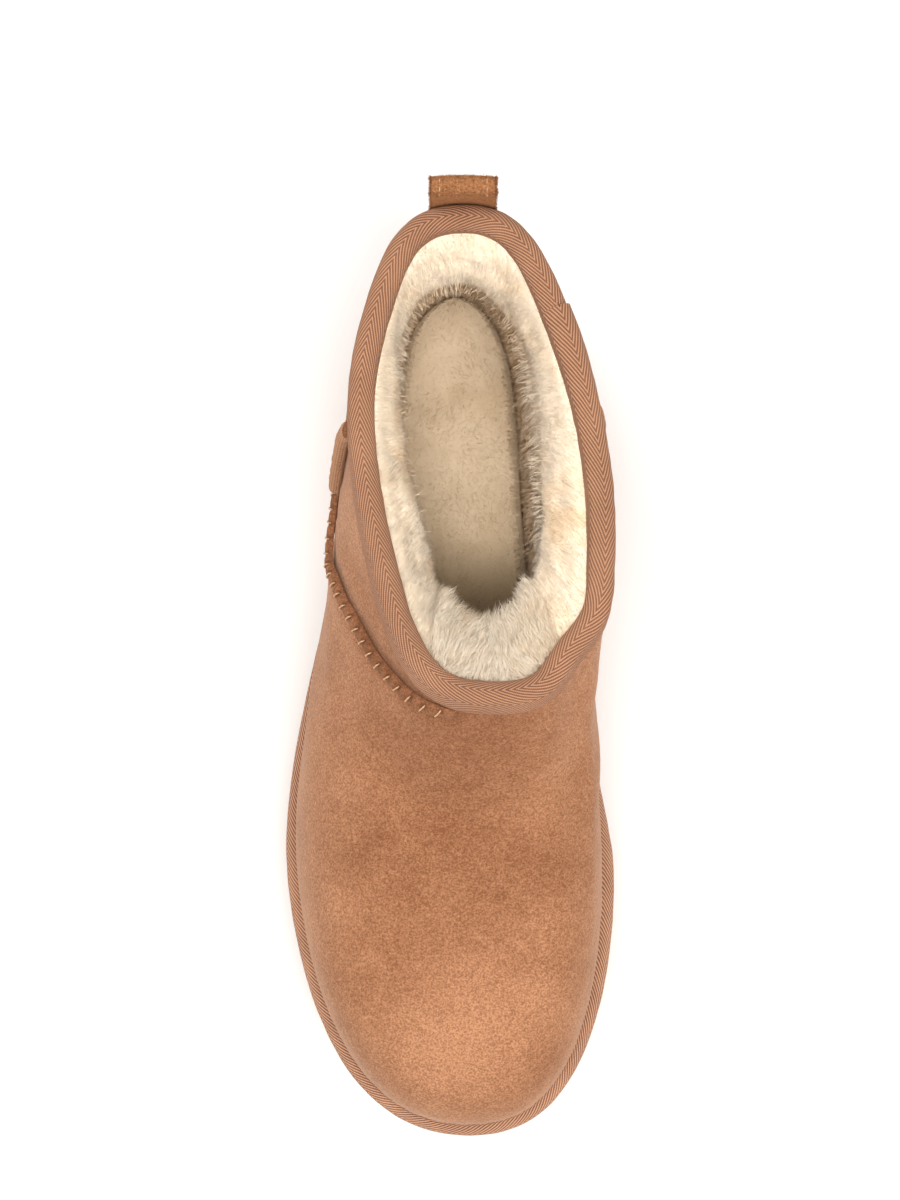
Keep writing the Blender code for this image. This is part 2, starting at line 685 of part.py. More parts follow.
def make_binding(finish):
    """The folded tape: an outside leg on the suede, a rounded crown over the rim, and an inside leg
    on the fleece. Where its ends meet, one laps over the other."""
    inside = SUEDE + PRESSED_PILE + 2.0 * GAP
    places = np.sort(np.append(PLACES, (BIND_JOIN - 0.0005, BIND_JOIN + 0.0005)))
    lap = BIND_LAP * np.where(places < BIND_JOIN, blend((places - BIND_JOIN + 0.10) / 0.09), 0.0)
    flat = np.ones(len(places))
    rim = skin(places, flat)
    normal = skin_normal(places, flat)
    upward = rim - skin(places, 0.99 * flat)
    upward /= np.linalg.norm(upward, axis=1, keepdims=True)

    def below(depth, distance):
        return offset_skin(places, up_below_rim(places, depth), distance * flat)

    def crown(thick):
        """Half an ellipse over the rim, from outside to inside."""
        rings = []
        for k in range(5):
            turn = math.pi * k / 4
            outer_share = 0.5 + 0.5 * math.cos(turn)
            lapped = lap * outer_share if thick else 0.0 * lap
            across = -inside / 2 + (inside / 2 + GAP + thick) * math.cos(turn) + lapped
            lift = GAP + (BIND_CROWN - BIND_TAPE + thick) * math.sin(turn) + lapped * math.sin(turn)
            rings.append(rim + normal * across[:, None] + upward * lift[:, None])
        return rings

    rings = [below(depth, GAP + BIND_TAPE + lap) for depth in (BIND_OUTSIDE, BIND_OUTSIDE / 2)]
    rings += crown(BIND_TAPE)
    rings += [below(BIND_INSIDE, -inside - GAP - BIND_TAPE), below(BIND_INSIDE, -inside - GAP)]
    rings += crown(0.0)[::-1]
    rings += [below(depth, GAP) for depth in (BIND_OUTSIDE / 2, BIND_OUTSIDE)]
    return hoop("collar_binding", rings, finish)


def seam_sections(places, ups, width, height, level=False):
    """Rounded cross-sections of a raised seam along a path on the skin, square to the path or level
    with the rim."""
    centre = skin(places, ups)
    normal = skin_normal(places, ups)
    if level:
        across = skin(places + 0.002, ups) - skin(places - 0.002, ups)
    else:
        across = np.cross(normal, np.gradient(centre, axis=0))
    across /= np.linalg.norm(across, axis=1, keepdims=True)
    sections = []
    for x, y in ((-0.5, 0.0), (-0.40, 0.62), (0.0, 1.0), (0.40, 0.62), (0.5, 0.0)):
        lift = 2.4 * GAP + y * np.broadcast_to(height, len(places))
        sections.append(centre + across * (x * width) + normal * lift[:, None])
    return list(np.stack(sections, axis=1))


def seam_path(points, steps):
    """A smooth open line through a seam's table, evenly spaced on the skin."""
    knots = np.linspace(0.0, 1.0, len(points))
    table = np.array([(p.around, p.up) for p in points])
    fine = np.linspace(0.0, 1.0, 301)
    slopes = np.gradient(table, knots, axis=0)
    i = np.clip((fine * (len(points) - 1)).astype(int), 0, len(points) - 2)
    h = knots[1] - knots[0]
    t = ((fine - knots[i]) / h)[:, None]
    curve = (2 * t**3 - 3 * t**2 + 1) * table[i] + (t**3 - 2 * t**2 + t) * h * slopes[i]
    curve += (3 * t**2 - 2 * t**3) * table[i + 1] + (t**3 - t**2) * h * slopes[i + 1]
    line = skin(curve[:, 0], curve[:, 1])
    run = np.concatenate([[0.0], np.cumsum(np.linalg.norm(np.diff(line, axis=0), axis=1))])
    even = np.linspace(0.0, run[-1], steps)
    return np.interp(even, run, curve[:, 0]), np.interp(even, run, curve[:, 1])


def make_vamp_seam(name, points, steps, finish):
    places, ups = seam_path(points, steps)
    height = np.full(steps, SEAM_HEIGHT)
    height[-4:] *= (0.90, 0.70, 0.45, 0.25)
    return rod(name, seam_sections(places, ups, SEAM_WIDTH, height), finish)


def make_side_seam(name, ends, vamp_points, finish):
    """The seam from the collar's binding down to the vamp seam."""
    top, foot = ends
    vamp_places, vamp_ups = seam_path(vamp_points, 300)
    order = np.argsort(vamp_places)
    foot_up = float(np.interp(foot, vamp_places[order], vamp_ups[order]))
    wall = float(np.linalg.norm(skin(foot, foot_up + 0.01) - skin(foot, foot_up)) / 0.01)
    beside = np.array([foot - 0.004, foot + 0.004])
    ends_beside = skin(beside, np.interp(beside, vamp_places[order], vamp_ups[order]))
    east, north, rise = ends_beside[1] - ends_beside[0]
    slope = abs(rise) / math.hypot(east, north)
    clear = SEAM_WIDTH / 2 * math.hypot(1.0, slope) + SIDE_SEAM_WIDTH / 4 * slope + GAP
    foot_up += clear / wall
    top_up = float(up_below_rim(np.array([top]), BIND_OUTSIDE + 2.0 * GAP)[0])
    shares = np.linspace(0.0, 1.0, 7)
    places = top + (foot - top) * shares
    ups = top_up + (foot_up - top_up) * shares
    height = np.full(7, SIDE_SEAM_HEIGHT)
    height[:2] *= (0.55, 0.82)
    return rod(name, seam_sections(places, ups, SIDE_SEAM_WIDTH, height, level=True), finish)


def heel_wall(x, height):
    """The upper's surface behind the heel: the point at x, a given height above the rim or below it."""
    places = np.linspace(-0.10, 0.10, 81)
    drop = max(-height, 0.0)
    line = offset_skin(places, up_below_rim(places, drop), np.zeros(81))
    order = np.argsort(line[:, 0])
    y, z = [float(np.interp(x, line[order, 0], line[order, k])) for k in (1, 2)]
    return x, y, z + max(height, 0.0)


def make_pull_loop(finish):
    """A suede strip folded into a loop behind the heel, its two ends sewn flat below the binding."""
    centre_x = float(COLLAR.at(0.0)[0])
    outlines = [loop_outline(centre_x + column) for column in np.linspace(-0.5, 0.5, 5) * LOOP_WIDTH]
    return hoop("pull_loop", [o for o, _ in outlines] + [h for _, h in outlines[::-1]], finish)


def loop_outline(x):
    """The strip's outer and inner outline in an upright plane. It leaves the wall's curve as it
    rises, and is almost straight across at its top."""
    centre_x = float(COLLAR.at(0.0)[0])
    side = heel_wall(x + 0.001, 0.0)[1] - heel_wall(x - 0.001, 0.0)[1]
    tilt = 0.002 / math.hypot(side, 0.002)

    def spot(height, out):
        wall = heel_wall(x, height)
        risen = float(blend((height + BIND_OUTSIDE) / (LOOP_RISE + BIND_OUTSIDE)))
        behind = LOOP_STRAIGHT * (heel_wall(centre_x, height)[1] - wall[1])
        return (x, wall[1] + out + risen * behind, wall[2])

    over_tape = (BIND_TAPE + 2.2 * GAP) / tilt
    on_suede = 1.5 * GAP / tilt
    wide = 2.0 * LOOP_LAYER + LOOP_OPEN
    top = LOOP_RISE - wide / 2
    below = -BIND_OUTSIDE
    bend = 1.6 * LOOP_LAYER
    sewn = on_suede + 2.0 * LOOP_LAYER
    near = [(-LOOP_DROP, on_suede), (below - bend, on_suede), (below - 0.3 * LOOP_LAYER, over_tape)]
    near += [(0.35 * below, over_tape), (top, over_tape)]
    far = [(-LOOP_DROP, sewn), (below - bend, sewn), (0.92 * below, over_tape + wide * 0.80)]
    far += [(0.35 * below, over_tape + wide), (top, over_tape + wide)]
    inside = over_tape + LOOP_LAYER
    heights = (0.78 * below, 0.55 * below, 0.32 * below, 0.10 * below, top)
    hole_near = [(height, inside) for height in heights]
    opened = (0.2 * LOOP_LAYER, 0.5 * LOOP_LAYER, 0.9 * LOOP_OPEN, LOOP_OPEN, LOOP_OPEN)
    hole_far = [(height, inside + out) for height, out in zip(heights, opened)]
    middle = over_tape + wide / 2

    def fold(radius):
        turns = [math.pi * k / 5 for k in range(1, 5)]
        return [(top + radius * math.sin(a), middle - radius * math.cos(a)) for a in turns]

    outer = near + fold(wide / 2) + far[::-1]
    inner = hole_near + fold(LOOP_OPEN / 2) + hole_far[::-1]
    return np.array([spot(*s) for s in outer]), np.array([spot(*s) for s in inner])


def build():
    for old in list(bpy.data.objects):
        bpy.data.objects.remove(old)
    base = bpy.data.objects.new("boot", None)
    bpy.context.scene.collection.objects.link(base)
    make_outsole(material("outsole_foam", OUTSOLE_COLOUR, 0.75))
    make_midsole(material("midsole_foam", MIDSOLE_COLOUR, 0.8))
    make_sole_tape(material("sole_tape_weave", TAPE_COLOUR, 0.85))
    make_insole(material("insole_fleece", FLEECE_COLOUR, 1.0))
    make_upper(material("upper_suede", SUEDE_COLOUR, 0.9))
    make_lining(material("lining_fleece", FLEECE_COLOUR, 1.0))
    make_binding(material("binding_weave", TAPE_COLOUR, 0.85))
    make_vamp_seam("vamp_seam_outer", OUTER_VAMP_SEAM, 33, material("outer_vamp_thread", THREAD_COLOUR, 0.8))
    make_vamp_seam("vamp_seam_inner", INNER_VAMP_SEAM, 24, material("inner_vamp_thread", THREAD_COLOUR, 0.8))
    outer_thread = material("outer_side_thread", THREAD_COLOUR, 0.8)
    make_side_seam("side_seam_outer", OUTER_SIDE_SEAM, OUTER_VAMP_SEAM, outer_thread)
    inner_thread = material("inner_side_thread", THREAD_COLOUR, 0.8)
    make_side_seam("side_seam_inner", INNER_SIDE_SEAM, INNER_VAMP_SEAM, inner_thread)
    make_pull_loop(material("loop_suede", SUEDE_COLOUR, 0.9))


build()
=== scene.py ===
# Sheepskin ankle boot for the right foot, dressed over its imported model.
# Metres, +Z up, toe towards -Y, big-toe side towards +X.
# "around" runs 0 heel, 0.25 little-toe side, 0.5 toe tip, 0.75 big-toe side.
# "up" runs 0 at the sole to 1 at the collar's rim.
import math

import bpy
import numpy as np
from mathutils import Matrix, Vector, kdtree, noise


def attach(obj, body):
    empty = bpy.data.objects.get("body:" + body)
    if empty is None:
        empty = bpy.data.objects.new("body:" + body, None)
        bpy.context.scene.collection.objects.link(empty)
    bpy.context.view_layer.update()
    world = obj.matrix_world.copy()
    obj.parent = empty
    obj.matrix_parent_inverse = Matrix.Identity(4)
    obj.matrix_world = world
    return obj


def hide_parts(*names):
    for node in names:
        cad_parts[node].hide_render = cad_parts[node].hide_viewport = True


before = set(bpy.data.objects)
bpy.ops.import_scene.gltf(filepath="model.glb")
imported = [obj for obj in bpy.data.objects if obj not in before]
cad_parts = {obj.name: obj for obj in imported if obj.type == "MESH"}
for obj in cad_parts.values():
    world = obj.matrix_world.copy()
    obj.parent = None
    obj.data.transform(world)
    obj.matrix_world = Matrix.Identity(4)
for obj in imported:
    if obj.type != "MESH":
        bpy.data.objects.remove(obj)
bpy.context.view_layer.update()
print("frame loaded")


# Camera: almost straight down on the boot, a little from the toe, as the photo was taken
view = {"target": (0.0, 0.0263, 0.06), "elevation": 84.0, "distance": 1.30, "lens": 124.8}

bpy.ops.object.camera_add()
camera = bpy.context.object
tilt = math.radians(view["elevation"])
back = Vector((0.0, -math.cos(tilt), math.sin(tilt)))
camera.location = Vector(view["target"]) + back * view["distance"]
camera.rotation_mode = "QUATERNION"
camera.rotation_quaternion = (-back).to_track_quat("-Z", "Y")
camera.data.lens = view["lens"]
camera.data.sensor_width = 36.0
camera.data.clip_start = 0.05
bpy.context.scene.camera = camera
bpy.context.scene.view_settings.view_transform = "Standard"

# Light: a pale room, a soft light overhead that reaches into the boot, and two weak ones from the sides
room = {"sky": (1.0, 0.985, 0.965), "skyStrength": 0.50, "floor": (0.94, 0.935, 0.93)}
# name, place, size, watts, colour
softLights = [
    ("overhead", (0.04, -0.25, 1.55), 0.7, 16.2, (1.0, 0.985, 0.965)),
    ("toeSide", (0.75, -0.75, 0.95), 0.9, 8.0, (1.0, 0.97, 0.94)),
    ("heelSide", (-0.70, 0.55, 1.00), 0.9, 8.0, (1.0, 0.97, 0.95)),
]

world = bpy.data.worlds.new("room")
bpy.context.scene.world = world
world.use_nodes = True
world.node_tree.nodes["Background"].inputs["Color"].default_value = (*room["sky"], 1.0)
world.node_tree.nodes["Background"].inputs["Strength"].default_value = room["skyStrength"]
for lightName, place, size, watts, colour in softLights:
    bpy.ops.object.light_add(type="AREA", location=place)
    lamp = bpy.context.object
    lamp.name = lightName
    lamp.data.shape = "DISK"
    lamp.data.size = size
    lamp.data.energy = watts
    lamp.data.color = colour
    lamp.rotation_mode = "QUATERNION"
    lamp.rotation_quaternion = (Vector((0, 0, 0.08)) - lamp.location).to_track_quat("-Z", "Y")


# The last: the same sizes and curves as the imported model's
last = {
    "gap": 0.0003, "length": 0.280, "ballWidth": 0.1035, "heelOutsole": 0.025, "ballOutsole": 0.021,
    "midsole": 0.019, "toeSpring": 0.009, "heelSpring": 0.003, "archLift": 0.0035, "ledge": 0.0042,
    "suede": 0.0020, "tape": 0.0012, "tapeRound": 0.0030,
    "collarLength": 0.1445, "collarWidth": 0.0760, "collarSetback": 0.0077, "collarShift": 0.0092,
    "heelHeight": 0.1490, "ankleHeight": 0.1385, "instepHeight": 0.1415,
}
# outlines as (along from the heel, across) shares
soleEdge = [
    (0.000, 0.016), (0.020, -0.135), (0.085, -0.268), (0.160, -0.310), (0.250, -0.336), (0.340, -0.357),
    (0.411, -0.383), (0.479, -0.422), (0.546, -0.461), (0.614, -0.489), (0.682, -0.499), (0.749, -0.482),
    (0.816, -0.443), (0.883, -0.377), (0.940, -0.282), (0.980, -0.155), (1.000, 0.060), (0.980, 0.255),
    (0.940, 0.358), (0.883, 0.431), (0.816, 0.477), (0.749, 0.497), (0.682, 0.494), (0.614, 0.461),
    (0.546, 0.441), (0.460, 0.424), (0.380, 0.396), (0.290, 0.374), (0.190, 0.358), (0.085, 0.300),
    (0.020, 0.170),
]
collarEdge = [
    (0.000, -0.070), (0.020, -0.238), (0.055, -0.315), (0.121, -0.384), (0.202, -0.438), (0.313, -0.488),
    (0.423, -0.500), (0.524, -0.484), (0.625, -0.452), (0.726, -0.408), (0.827, -0.355), (0.907, -0.288),
    (0.968, -0.188), (1.000, 0.032), (0.968, 0.272), (0.907, 0.358), (0.827, 0.468), (0.726, 0.497),
    (0.625, 0.500), (0.524, 0.486), (0.423, 0.455), (0.313, 0.399), (0.202, 0.321), (0.121, 0.252),
    (0.055, 0.172), (0.020, 0.094),
]
hollowEdge = [
    (0.137, -0.070), (0.155, -0.200), (0.207, -0.279), (0.346, -0.300), (0.471, -0.275), (0.589, -0.222),
    (0.700, -0.168), (0.786, -0.110), (0.815, 0.000), (0.791, 0.116), (0.728, 0.188), (0.603, 0.215),
    (0.443, 0.212), (0.305, 0.178), (0.200, 0.100), (0.148, -0.016),
]
# how the upper climbs: around, ledge, rise, flare, drop, lean, bulge
climbs = [
    (0.00, 1.00, 0.40, 0.045, 0.34, 0.34, 0.010), (0.12, 1.00, 0.40, 0.030, 0.34, 0.34, 0.000),
    (0.22, 1.00, 0.42, 0.040, 0.34, 0.30, 0.006), (0.30, 1.00, 0.44, 0.045, 0.40, 0.34, -0.010),
    (0.38, 1.00, 0.50, 0.060, 0.58, 0.42, 0.000), (0.44, 0.92, 0.56, 0.070, 0.75, 0.39, 0.000),
    (0.50, 0.90, 0.58, 0.065, 0.80, 0.36, 0.000), (0.56, 0.95, 0.56, 0.050, 0.75, 0.39, -0.012),
    (0.62, 1.05, 0.48, 0.026, 0.58, 0.40, -0.060), (0.70, 1.05, 0.42, 0.020, 0.38, 0.30, -0.062),
    (0.78, 1.05, 0.42, 0.055, 0.34, 0.28, -0.005), (0.88, 1.00, 0.40, 0.045, 0.34, 0.34, 0.005),
]


def blend(share):
    held = np.clip(share, 0.0, 1.0)
    return held * held * (3.0 - 2.0 * held)


def unit(vectors, least=0.0):
    return vectors / (np.linalg.norm(vectors, axis=-1, keepdims=True) + least)


def runOf(points):
    # the way gone along a line at each of its points
    return np.append(0.0, np.cumsum(np.linalg.norm(np.diff(points, axis=0), axis=1)))


def readLine(at, run, points):
    return np.stack([np.interp(at, run, column) for column in points.T], axis=-1)


def closedCurve(knots, values, at):
    # smooth closed curve through values at knots, read at the given places
    knots = np.asarray(knots, float)
    values = np.asarray(values, float).reshape(len(knots), -1)
    count = len(knots)
    spans = np.diff(np.append(knots, knots[0] + 1.0))
    slopes = (np.roll(values, -1, axis=0) - values) / spans[:, None]
    matrix = np.zeros((count, count))
    for i in range(count):
        matrix[i, (i - 1) % count] += spans[(i - 1) % count]
        matrix[i, i] += 2.0 * (spans[(i - 1) % count] + spans[i])
        matrix[i, (i + 1) % count] += spans[i]
    bends = np.linalg.solve(matrix, 6.0 * (slopes - np.roll(slopes, 1, axis=0)))
    at = (np.asarray(at, float) - knots[0]) % 1.0
    i = np.clip(np.searchsorted(knots - knots[0], at, side="right") - 1, 0, count - 1)
    after = (i + 1) % count
    h = spans[i][:, None]
    t = (at - (knots - knots[0])[i])[:, None]
    rest = h - t
    curve = bends[i] * rest**3 / (6 * h) + bends[after] * t**3 / (6 * h)
    return curve + (values[i] / h - bends[i] * h / 6) * rest + (values[after] / h - bends[after] * h / 6) * t


def makeOutline(edges, length, width, backY, centreX):
    places = [(centreX + across * width, backY - along * length) for along, across in edges]
    steps = [math.dist(a, b) for a, b in zip(places, places[1:] + places[:1])]
    knots = np.cumsum([0.0] + steps[:-1]) / sum(steps)
    shares = np.arange(1440) / 1440
    fine = closedCurve(knots, places, shares)
    points = np.vstack([fine, fine[:1]])
    run = runOf(points)
    toe = knots[max(range(len(edges)), key=lambda i: edges[i][0])]
    toeRun = np.interp(toe, np.append(shares, 1.0), run)
    return {"around": np.interp(run, [0.0, toeRun, run[-1]], [0.0, 0.5, 1.0]), "points": points}


def outlineAt(outline, around):
    return readLine(np.asarray(around, float) % 1.0, outline["around"], outline["points"])


def outlineOut(outline, around):
    before, after = (outlineAt(outline, np.asarray(around) + step) for step in (-0.004, 0.004))
    along = unit(after - before)
    return np.stack([along[..., 1], -along[..., 0]], axis=-1)


heelY = last["length"] / 2
collarSizes = (last["collarLength"], last["collarWidth"], heelY - last["collarSetback"], last["collarShift"])
soleLine = makeOutline(soleEdge, last["length"], last["ballWidth"], heelY, 0.0)
collarLine = makeOutline(collarEdge, *collarSizes)
hollowLine = makeOutline(hollowEdge, *collarSizes)


def alongOf(y):
    return (heelY - np.asarray(y, float)) / last["length"]


def soleUnderside(y):
    along = alongOf(y)
    toe = last["toeSpring"] * np.clip((along - 0.78) / 0.22, 0.0, 1.2) ** 2
    heel = last["heelSpring"] * np.clip((0.07 - along) / 0.07, 0.0, 1.2) ** 2
    return toe + heel + last["archLift"] * blend((along - 0.32) / 0.07) * blend((0.53 - along) / 0.07)


def outsoleTop(y):
    along = alongOf(y)
    thick = last["heelOutsole"] + (last["ballOutsole"] - last["heelOutsole"]) * blend((along - 0.15) / 0.5)
    return thick + last["toeSpring"] * np.clip((along - 0.72) / 0.28, 0.0, 1.2) ** 2


def midsoleTop(y):
    return outsoleTop(y) + last["gap"] + last["midsole"]


def climbAt(around):
    table = np.array(climbs)
    read = closedCurve(table[:, 0], table[:, 1:], np.ravel(around) % 1.0)
    return read.T.reshape((6,) + np.shape(around))


def rimHeight(around):
    turn = 2.0 * math.pi * np.asarray(around, float)
    backShare = np.clip(np.cos(turn), 0.0, 1.0) ** 2
    frontShare = np.clip(-np.cos(turn), 0.0, 1.0) ** 2
    height = last["ankleHeight"] + (last["heelHeight"] - last["ankleHeight"]) * backShare
    return height + (last["instepHeight"] - last["ankleHeight"]) * frontShare


def insetSole(around, distance):
    return outlineAt(soleLine, around) - outlineOut(soleLine, around) * np.asarray(distance)[..., None]


def footLine(around, furtherIn=0.0):
    return insetSole(around, last["ledge"] * climbAt(around)[0] + furtherIn)


def withHeight(plan, height):
    return np.concatenate([plan, np.asarray(height)[..., None]], axis=-1)


def skin(around, up):
    # points of the upper's outer face
    around, up = np.broadcast_arrays(np.asarray(around, float), np.asarray(up, float))
    plan = footLine(around)
    foot = withHeight(plan, midsoleTop(plan[..., 1]) + last["gap"])
    rim = withHeight(outlineAt(collarLine, around), rimHeight(around))
    rise, flare, drop, lean, bulge = climbAt(around)[1:]
    height = (rim - foot)[..., 2]
    level = np.array([0.0, 0.0, 1.0])
    footOut = withHeight(outlineOut(soleLine, around), np.zeros(around.shape))
    rimOut = withHeight(outlineOut(collarLine, around), np.zeros(around.shape))
    first = foot + (rise * height)[..., None] * level + (flare * height)[..., None] * footOut
    second = rim - (drop * height)[..., None] * level + lean[..., None] * (foot - rim) * (1.0, 1.0, 0.0)
    second = second + (bulge * height)[..., None] * rimOut
    t = up[..., None]
    s = 1.0 - t
    return s**3 * foot + 3 * s * s * t * first + 3 * s * t * t * second + t**3 * rim


def skinNormal(around, up):
    step = 0.003
    roundIt = skin(np.asarray(around) + step, up) - skin(np.asarray(around) - step, up)
    upward = skin(around, np.asarray(up) + step) - skin(around, np.asarray(up) - step)
    normal = np.cross(roundIt, upward)
    normal[..., 2] *= blend(np.broadcast_to(up, normal.shape[:-1]) / 0.12)
    return unit(normal)


def offsetSkin(around, up, distance):
    return skin(around, up) + skinNormal(around, up) * np.asarray(distance)[..., None]


def upBelowRim(around, distance):
    # where the wall lies a given distance below the rim
    around = np.atleast_1d(np.asarray(around, float))
    deep = np.broadcast_to(distance, around.shape)
    ups = np.linspace(1.0, 0.0, 161)
    lines = skin(around[:, None], ups[None, :])
    run = np.cumsum(np.linalg.norm(np.diff(lines, axis=1), axis=2), axis=1)
    return np.array([np.interp(d, np.append(0.0, r), ups) for d, r in zip(deep, run)])


# Small tools for making pieces
def looseNoise(points, size, seed=0.0):
    shift = Vector((seed * 3.7, seed * 1.3, seed * 2.1))
    read = [noise.noise(Vector(point) / size + shift) for point in np.reshape(points, (-1, 3))]
    return np.reshape(read, np.shape(points)[:-1])


def treeOf(points):
    # finds the nearest of many points
    tree = kdtree.KDTree(len(points))
    for k, point in enumerate(points):
        tree.insert(point, k)
    tree.balance()
    return tree


def pointsOf(piece):
    flat = np.zeros(len(piece.data.vertices) * 3)
    piece.data.vertices.foreach_get("co", flat)
    return flat.reshape(-1, 3)


def paintPoints(piece, name, values):
    piece.data.attributes.new(name, "FLOAT", "POINT").data.foreach_set("value", values)


def outwardOf(rings):
    # directions away from a stack of rings
    roundIt = np.roll(rings, -1, axis=1) - np.roll(rings, 1, axis=1)
    return unit(np.cross(roundIt, np.gradient(rings, axis=0)))


def wrapRings(name, rings, closed=False):
    # a grid laid on a stack of rings and joined round, with a UV map in metres
    rings = np.asarray(rings, float)
    if closed:
        rings = np.concatenate([rings, rings[:1]])
    rows, columns = rings.shape[0] - 1, rings.shape[1]
    bpy.ops.object.select_all(action="DESELECT")
    bpy.ops.mesh.primitive_grid_add(x_subdivisions=columns, y_subdivisions=rows, size=1.0)
    piece = bpy.context.object
    piece.name = name
    mesh = piece.data
    mesh.name = name
    spots = pointsOf(piece)
    column = np.rint((spots[:, 0] + 0.5) * columns).astype(int)
    row = np.rint((spots[:, 1] + 0.5) * rows).astype(int)
    mesh.vertices.foreach_set("co", rings[row, column % columns].ravel())
    along = np.linalg.norm(np.roll(rings, -1, axis=1) - rings, axis=2).mean(axis=0)
    across = np.linalg.norm(np.diff(rings, axis=0), axis=2).mean(axis=1)
    alongRun = np.append(0.0, np.cumsum(along))
    acrossRun = np.append(0.0, np.cumsum(across))
    corner = np.zeros(len(mesh.loops), int)
    mesh.loops.foreach_get("vertex_index", corner)
    places = np.stack([alongRun[column[corner]], acrossRun[row[corner]]], axis=1)
    mesh.uv_layers[0].uv.foreach_set("vector", places.ravel())
    bpy.ops.object.mode_set(mode="EDIT")
    bpy.ops.mesh.select_all(action="SELECT")
    bpy.ops.mesh.remove_doubles(threshold=0.000002)
    bpy.ops.mesh.normals_make_consistent(inside=False)
    bpy.ops.object.mode_set(mode="OBJECT")
    return piece


def closeEnds(piece):
    bpy.context.view_layer.objects.active = piece
    bpy.ops.object.mode_set(mode="EDIT")
    bpy.ops.mesh.select_all(action="SELECT")
    bpy.ops.mesh.fill_holes(sides=0)
    bpy.ops.mesh.select_all(action="SELECT")
    bpy.ops.mesh.normals_make_consistent(inside=False)
    bpy.ops.object.mode_set(mode="OBJECT")


def addWall(piece, thickness):
    bpy.context.view_layer.objects.active = piece
    wall = piece.modifiers.new("wall", "SOLIDIFY")
    wall.thickness = thickness
    wall.offset = -1.0
    bpy.ops.object.modifier_apply(modifier=wall.name)


def makeMesh(name, points, faces, uvs=None):
    mesh = bpy.data.meshes.new(name)
    faces = np.asarray(faces)
    points = np.asarray(points, float)
    mesh.vertices.add(len(points))
    mesh.vertices.foreach_set("co", points.ravel())
    mesh.loops.add(faces.size)
    mesh.loops.foreach_set("vertex_index", faces.ravel())
    mesh.polygons.add(len(faces))
    mesh.polygons.foreach_set("loop_start", np.arange(len(faces)) * faces.shape[1])
    if uvs is not None:
        layer = mesh.uv_layers.new(name="UVMap")
        layer.uv.foreach_set("vector", np.asarray(uvs)[faces.ravel()].ravel())
    mesh.update(calc_edges=True)
    mesh.validate()
    piece = bpy.data.objects.new(name, mesh)
    bpy.context.collection.objects.link(piece)
    return piece


def makeTubes(name, lines, radius, lift, sides=6):
    # one mesh of many short cords, each along its own line of points. lift is the side each one shows upwards
    lines = np.asarray(lines, float)
    count, steps = lines.shape[:2]
    along = unit(np.gradient(lines, axis=1))
    side = unit(np.cross(along, np.broadcast_to(lift, lines.shape)))
    lift = np.cross(side, along)
    radius = np.broadcast_to(radius, (count, steps))[..., None, None]
    turns = 2.0 * math.pi * np.arange(sides) / sides
    ring = np.cos(turns)[:, None] * side[:, :, None, :] + np.sin(turns)[:, None] * lift[:, :, None, :]
    points = lines[:, :, None, :] + ring * radius
    uvs = np.zeros((count, steps, sides, 2))
    run = np.cumsum(np.linalg.norm(np.diff(lines, axis=1, prepend=lines[:, :1]), axis=2), axis=1)
    uvs[..., 0] = run[:, :, None]
    uvs[..., 1] = np.arange(sides) / sides * 0.002
    faces = []
    for k in range(steps - 1):
        for i in range(sides):
            j = (i + 1) % sides
            faces.append((k * sides + i, k * sides + j, (k + 1) * sides + j, (k + 1) * sides + i))
    for k, order in ((0, (0, 3, 2, 1)), (steps - 1, (0, 1, 2, 3))):
        for i in range(1, sides - 1, 2):
            four = (0, i, i + 1, i + 2)
            faces.append(tuple(k * sides + four[n] for n in order))
    faces = np.array(faces)
    whole = (faces[None] + (np.arange(count) * steps * sides)[:, None, None]).reshape(-1, 4)
    return makeMesh(name, points.reshape(-1, 3), whole, uvs.reshape(-1, 2))


def joinPieces(pieces, name):
    bpy.ops.object.select_all(action="DESELECT")
    for piece in pieces:
        piece.select_set(True)
    bpy.context.view_layer.objects.active = pieces[0]
    bpy.ops.object.join()
    pieces[0].name = name
    return pieces[0]


def finishPiece(piece, material, slotName, *nodes, angle=None):
    piece.data.materials.clear()
    piece.data.materials.append(material)
    piece.data.shade_smooth()
    if angle:
        piece.data.set_sharp_from_angle(angle=math.radians(angle))
    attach(piece, "root")
    if nodes:
        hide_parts(*nodes)
    print(piece.name, len(piece.data.vertices), "points")


# Small tools for materials
def startMaterial(name, roughness, sheen=0.0, sheenTint=(1.0, 1.0, 1.0), specular=0.3):
    material = bpy.data.materials.new(name)
    material.use_nodes = True
    tree = material.node_tree
    shader = tree.nodes["Principled BSDF"]
    shader.inputs["Roughness"].default_value = roughness
    shader.inputs["Specular IOR Level"].default_value = specular
    shader.inputs["Sheen Weight"].default_value = sheen
    shader.inputs["Sheen Roughness"].default_value = 0.5
    shader.inputs["Sheen Tint"].default_value = (*sheenTint, 1.0)
    coords = addNode(tree, "ShaderNodeTexCoord").outputs["Object"]
    return material, tree, shader, coords


def addNode(tree, kind, inputs=None, **settings):
    made = tree.nodes.new(kind)
    for key, value in settings.items():
        setattr(made, key, value)
    for key, value in (inputs or {}).items():
        if isinstance(value, bpy.types.NodeSocket):
            tree.links.new(value, made.inputs[key])
        else:
            made.inputs[key].default_value = value
    return made


def mathOf(tree, operation, *values):
    return addNode(tree, "ShaderNodeMath", dict(enumerate(values)), operation=operation).outputs[0]


def weighed(tree, start, *pairs):
    # a start and some values, each times its weight
    for value, weight in pairs:
        start = mathOf(tree, "MULTIPLY_ADD", value, weight, start)
    return start


def waveOf(tree, value, pitch, lag=0.0):
    return mathOf(tree, "SINE", weighed(tree, lag, (value, 2.0 * math.pi / pitch)))


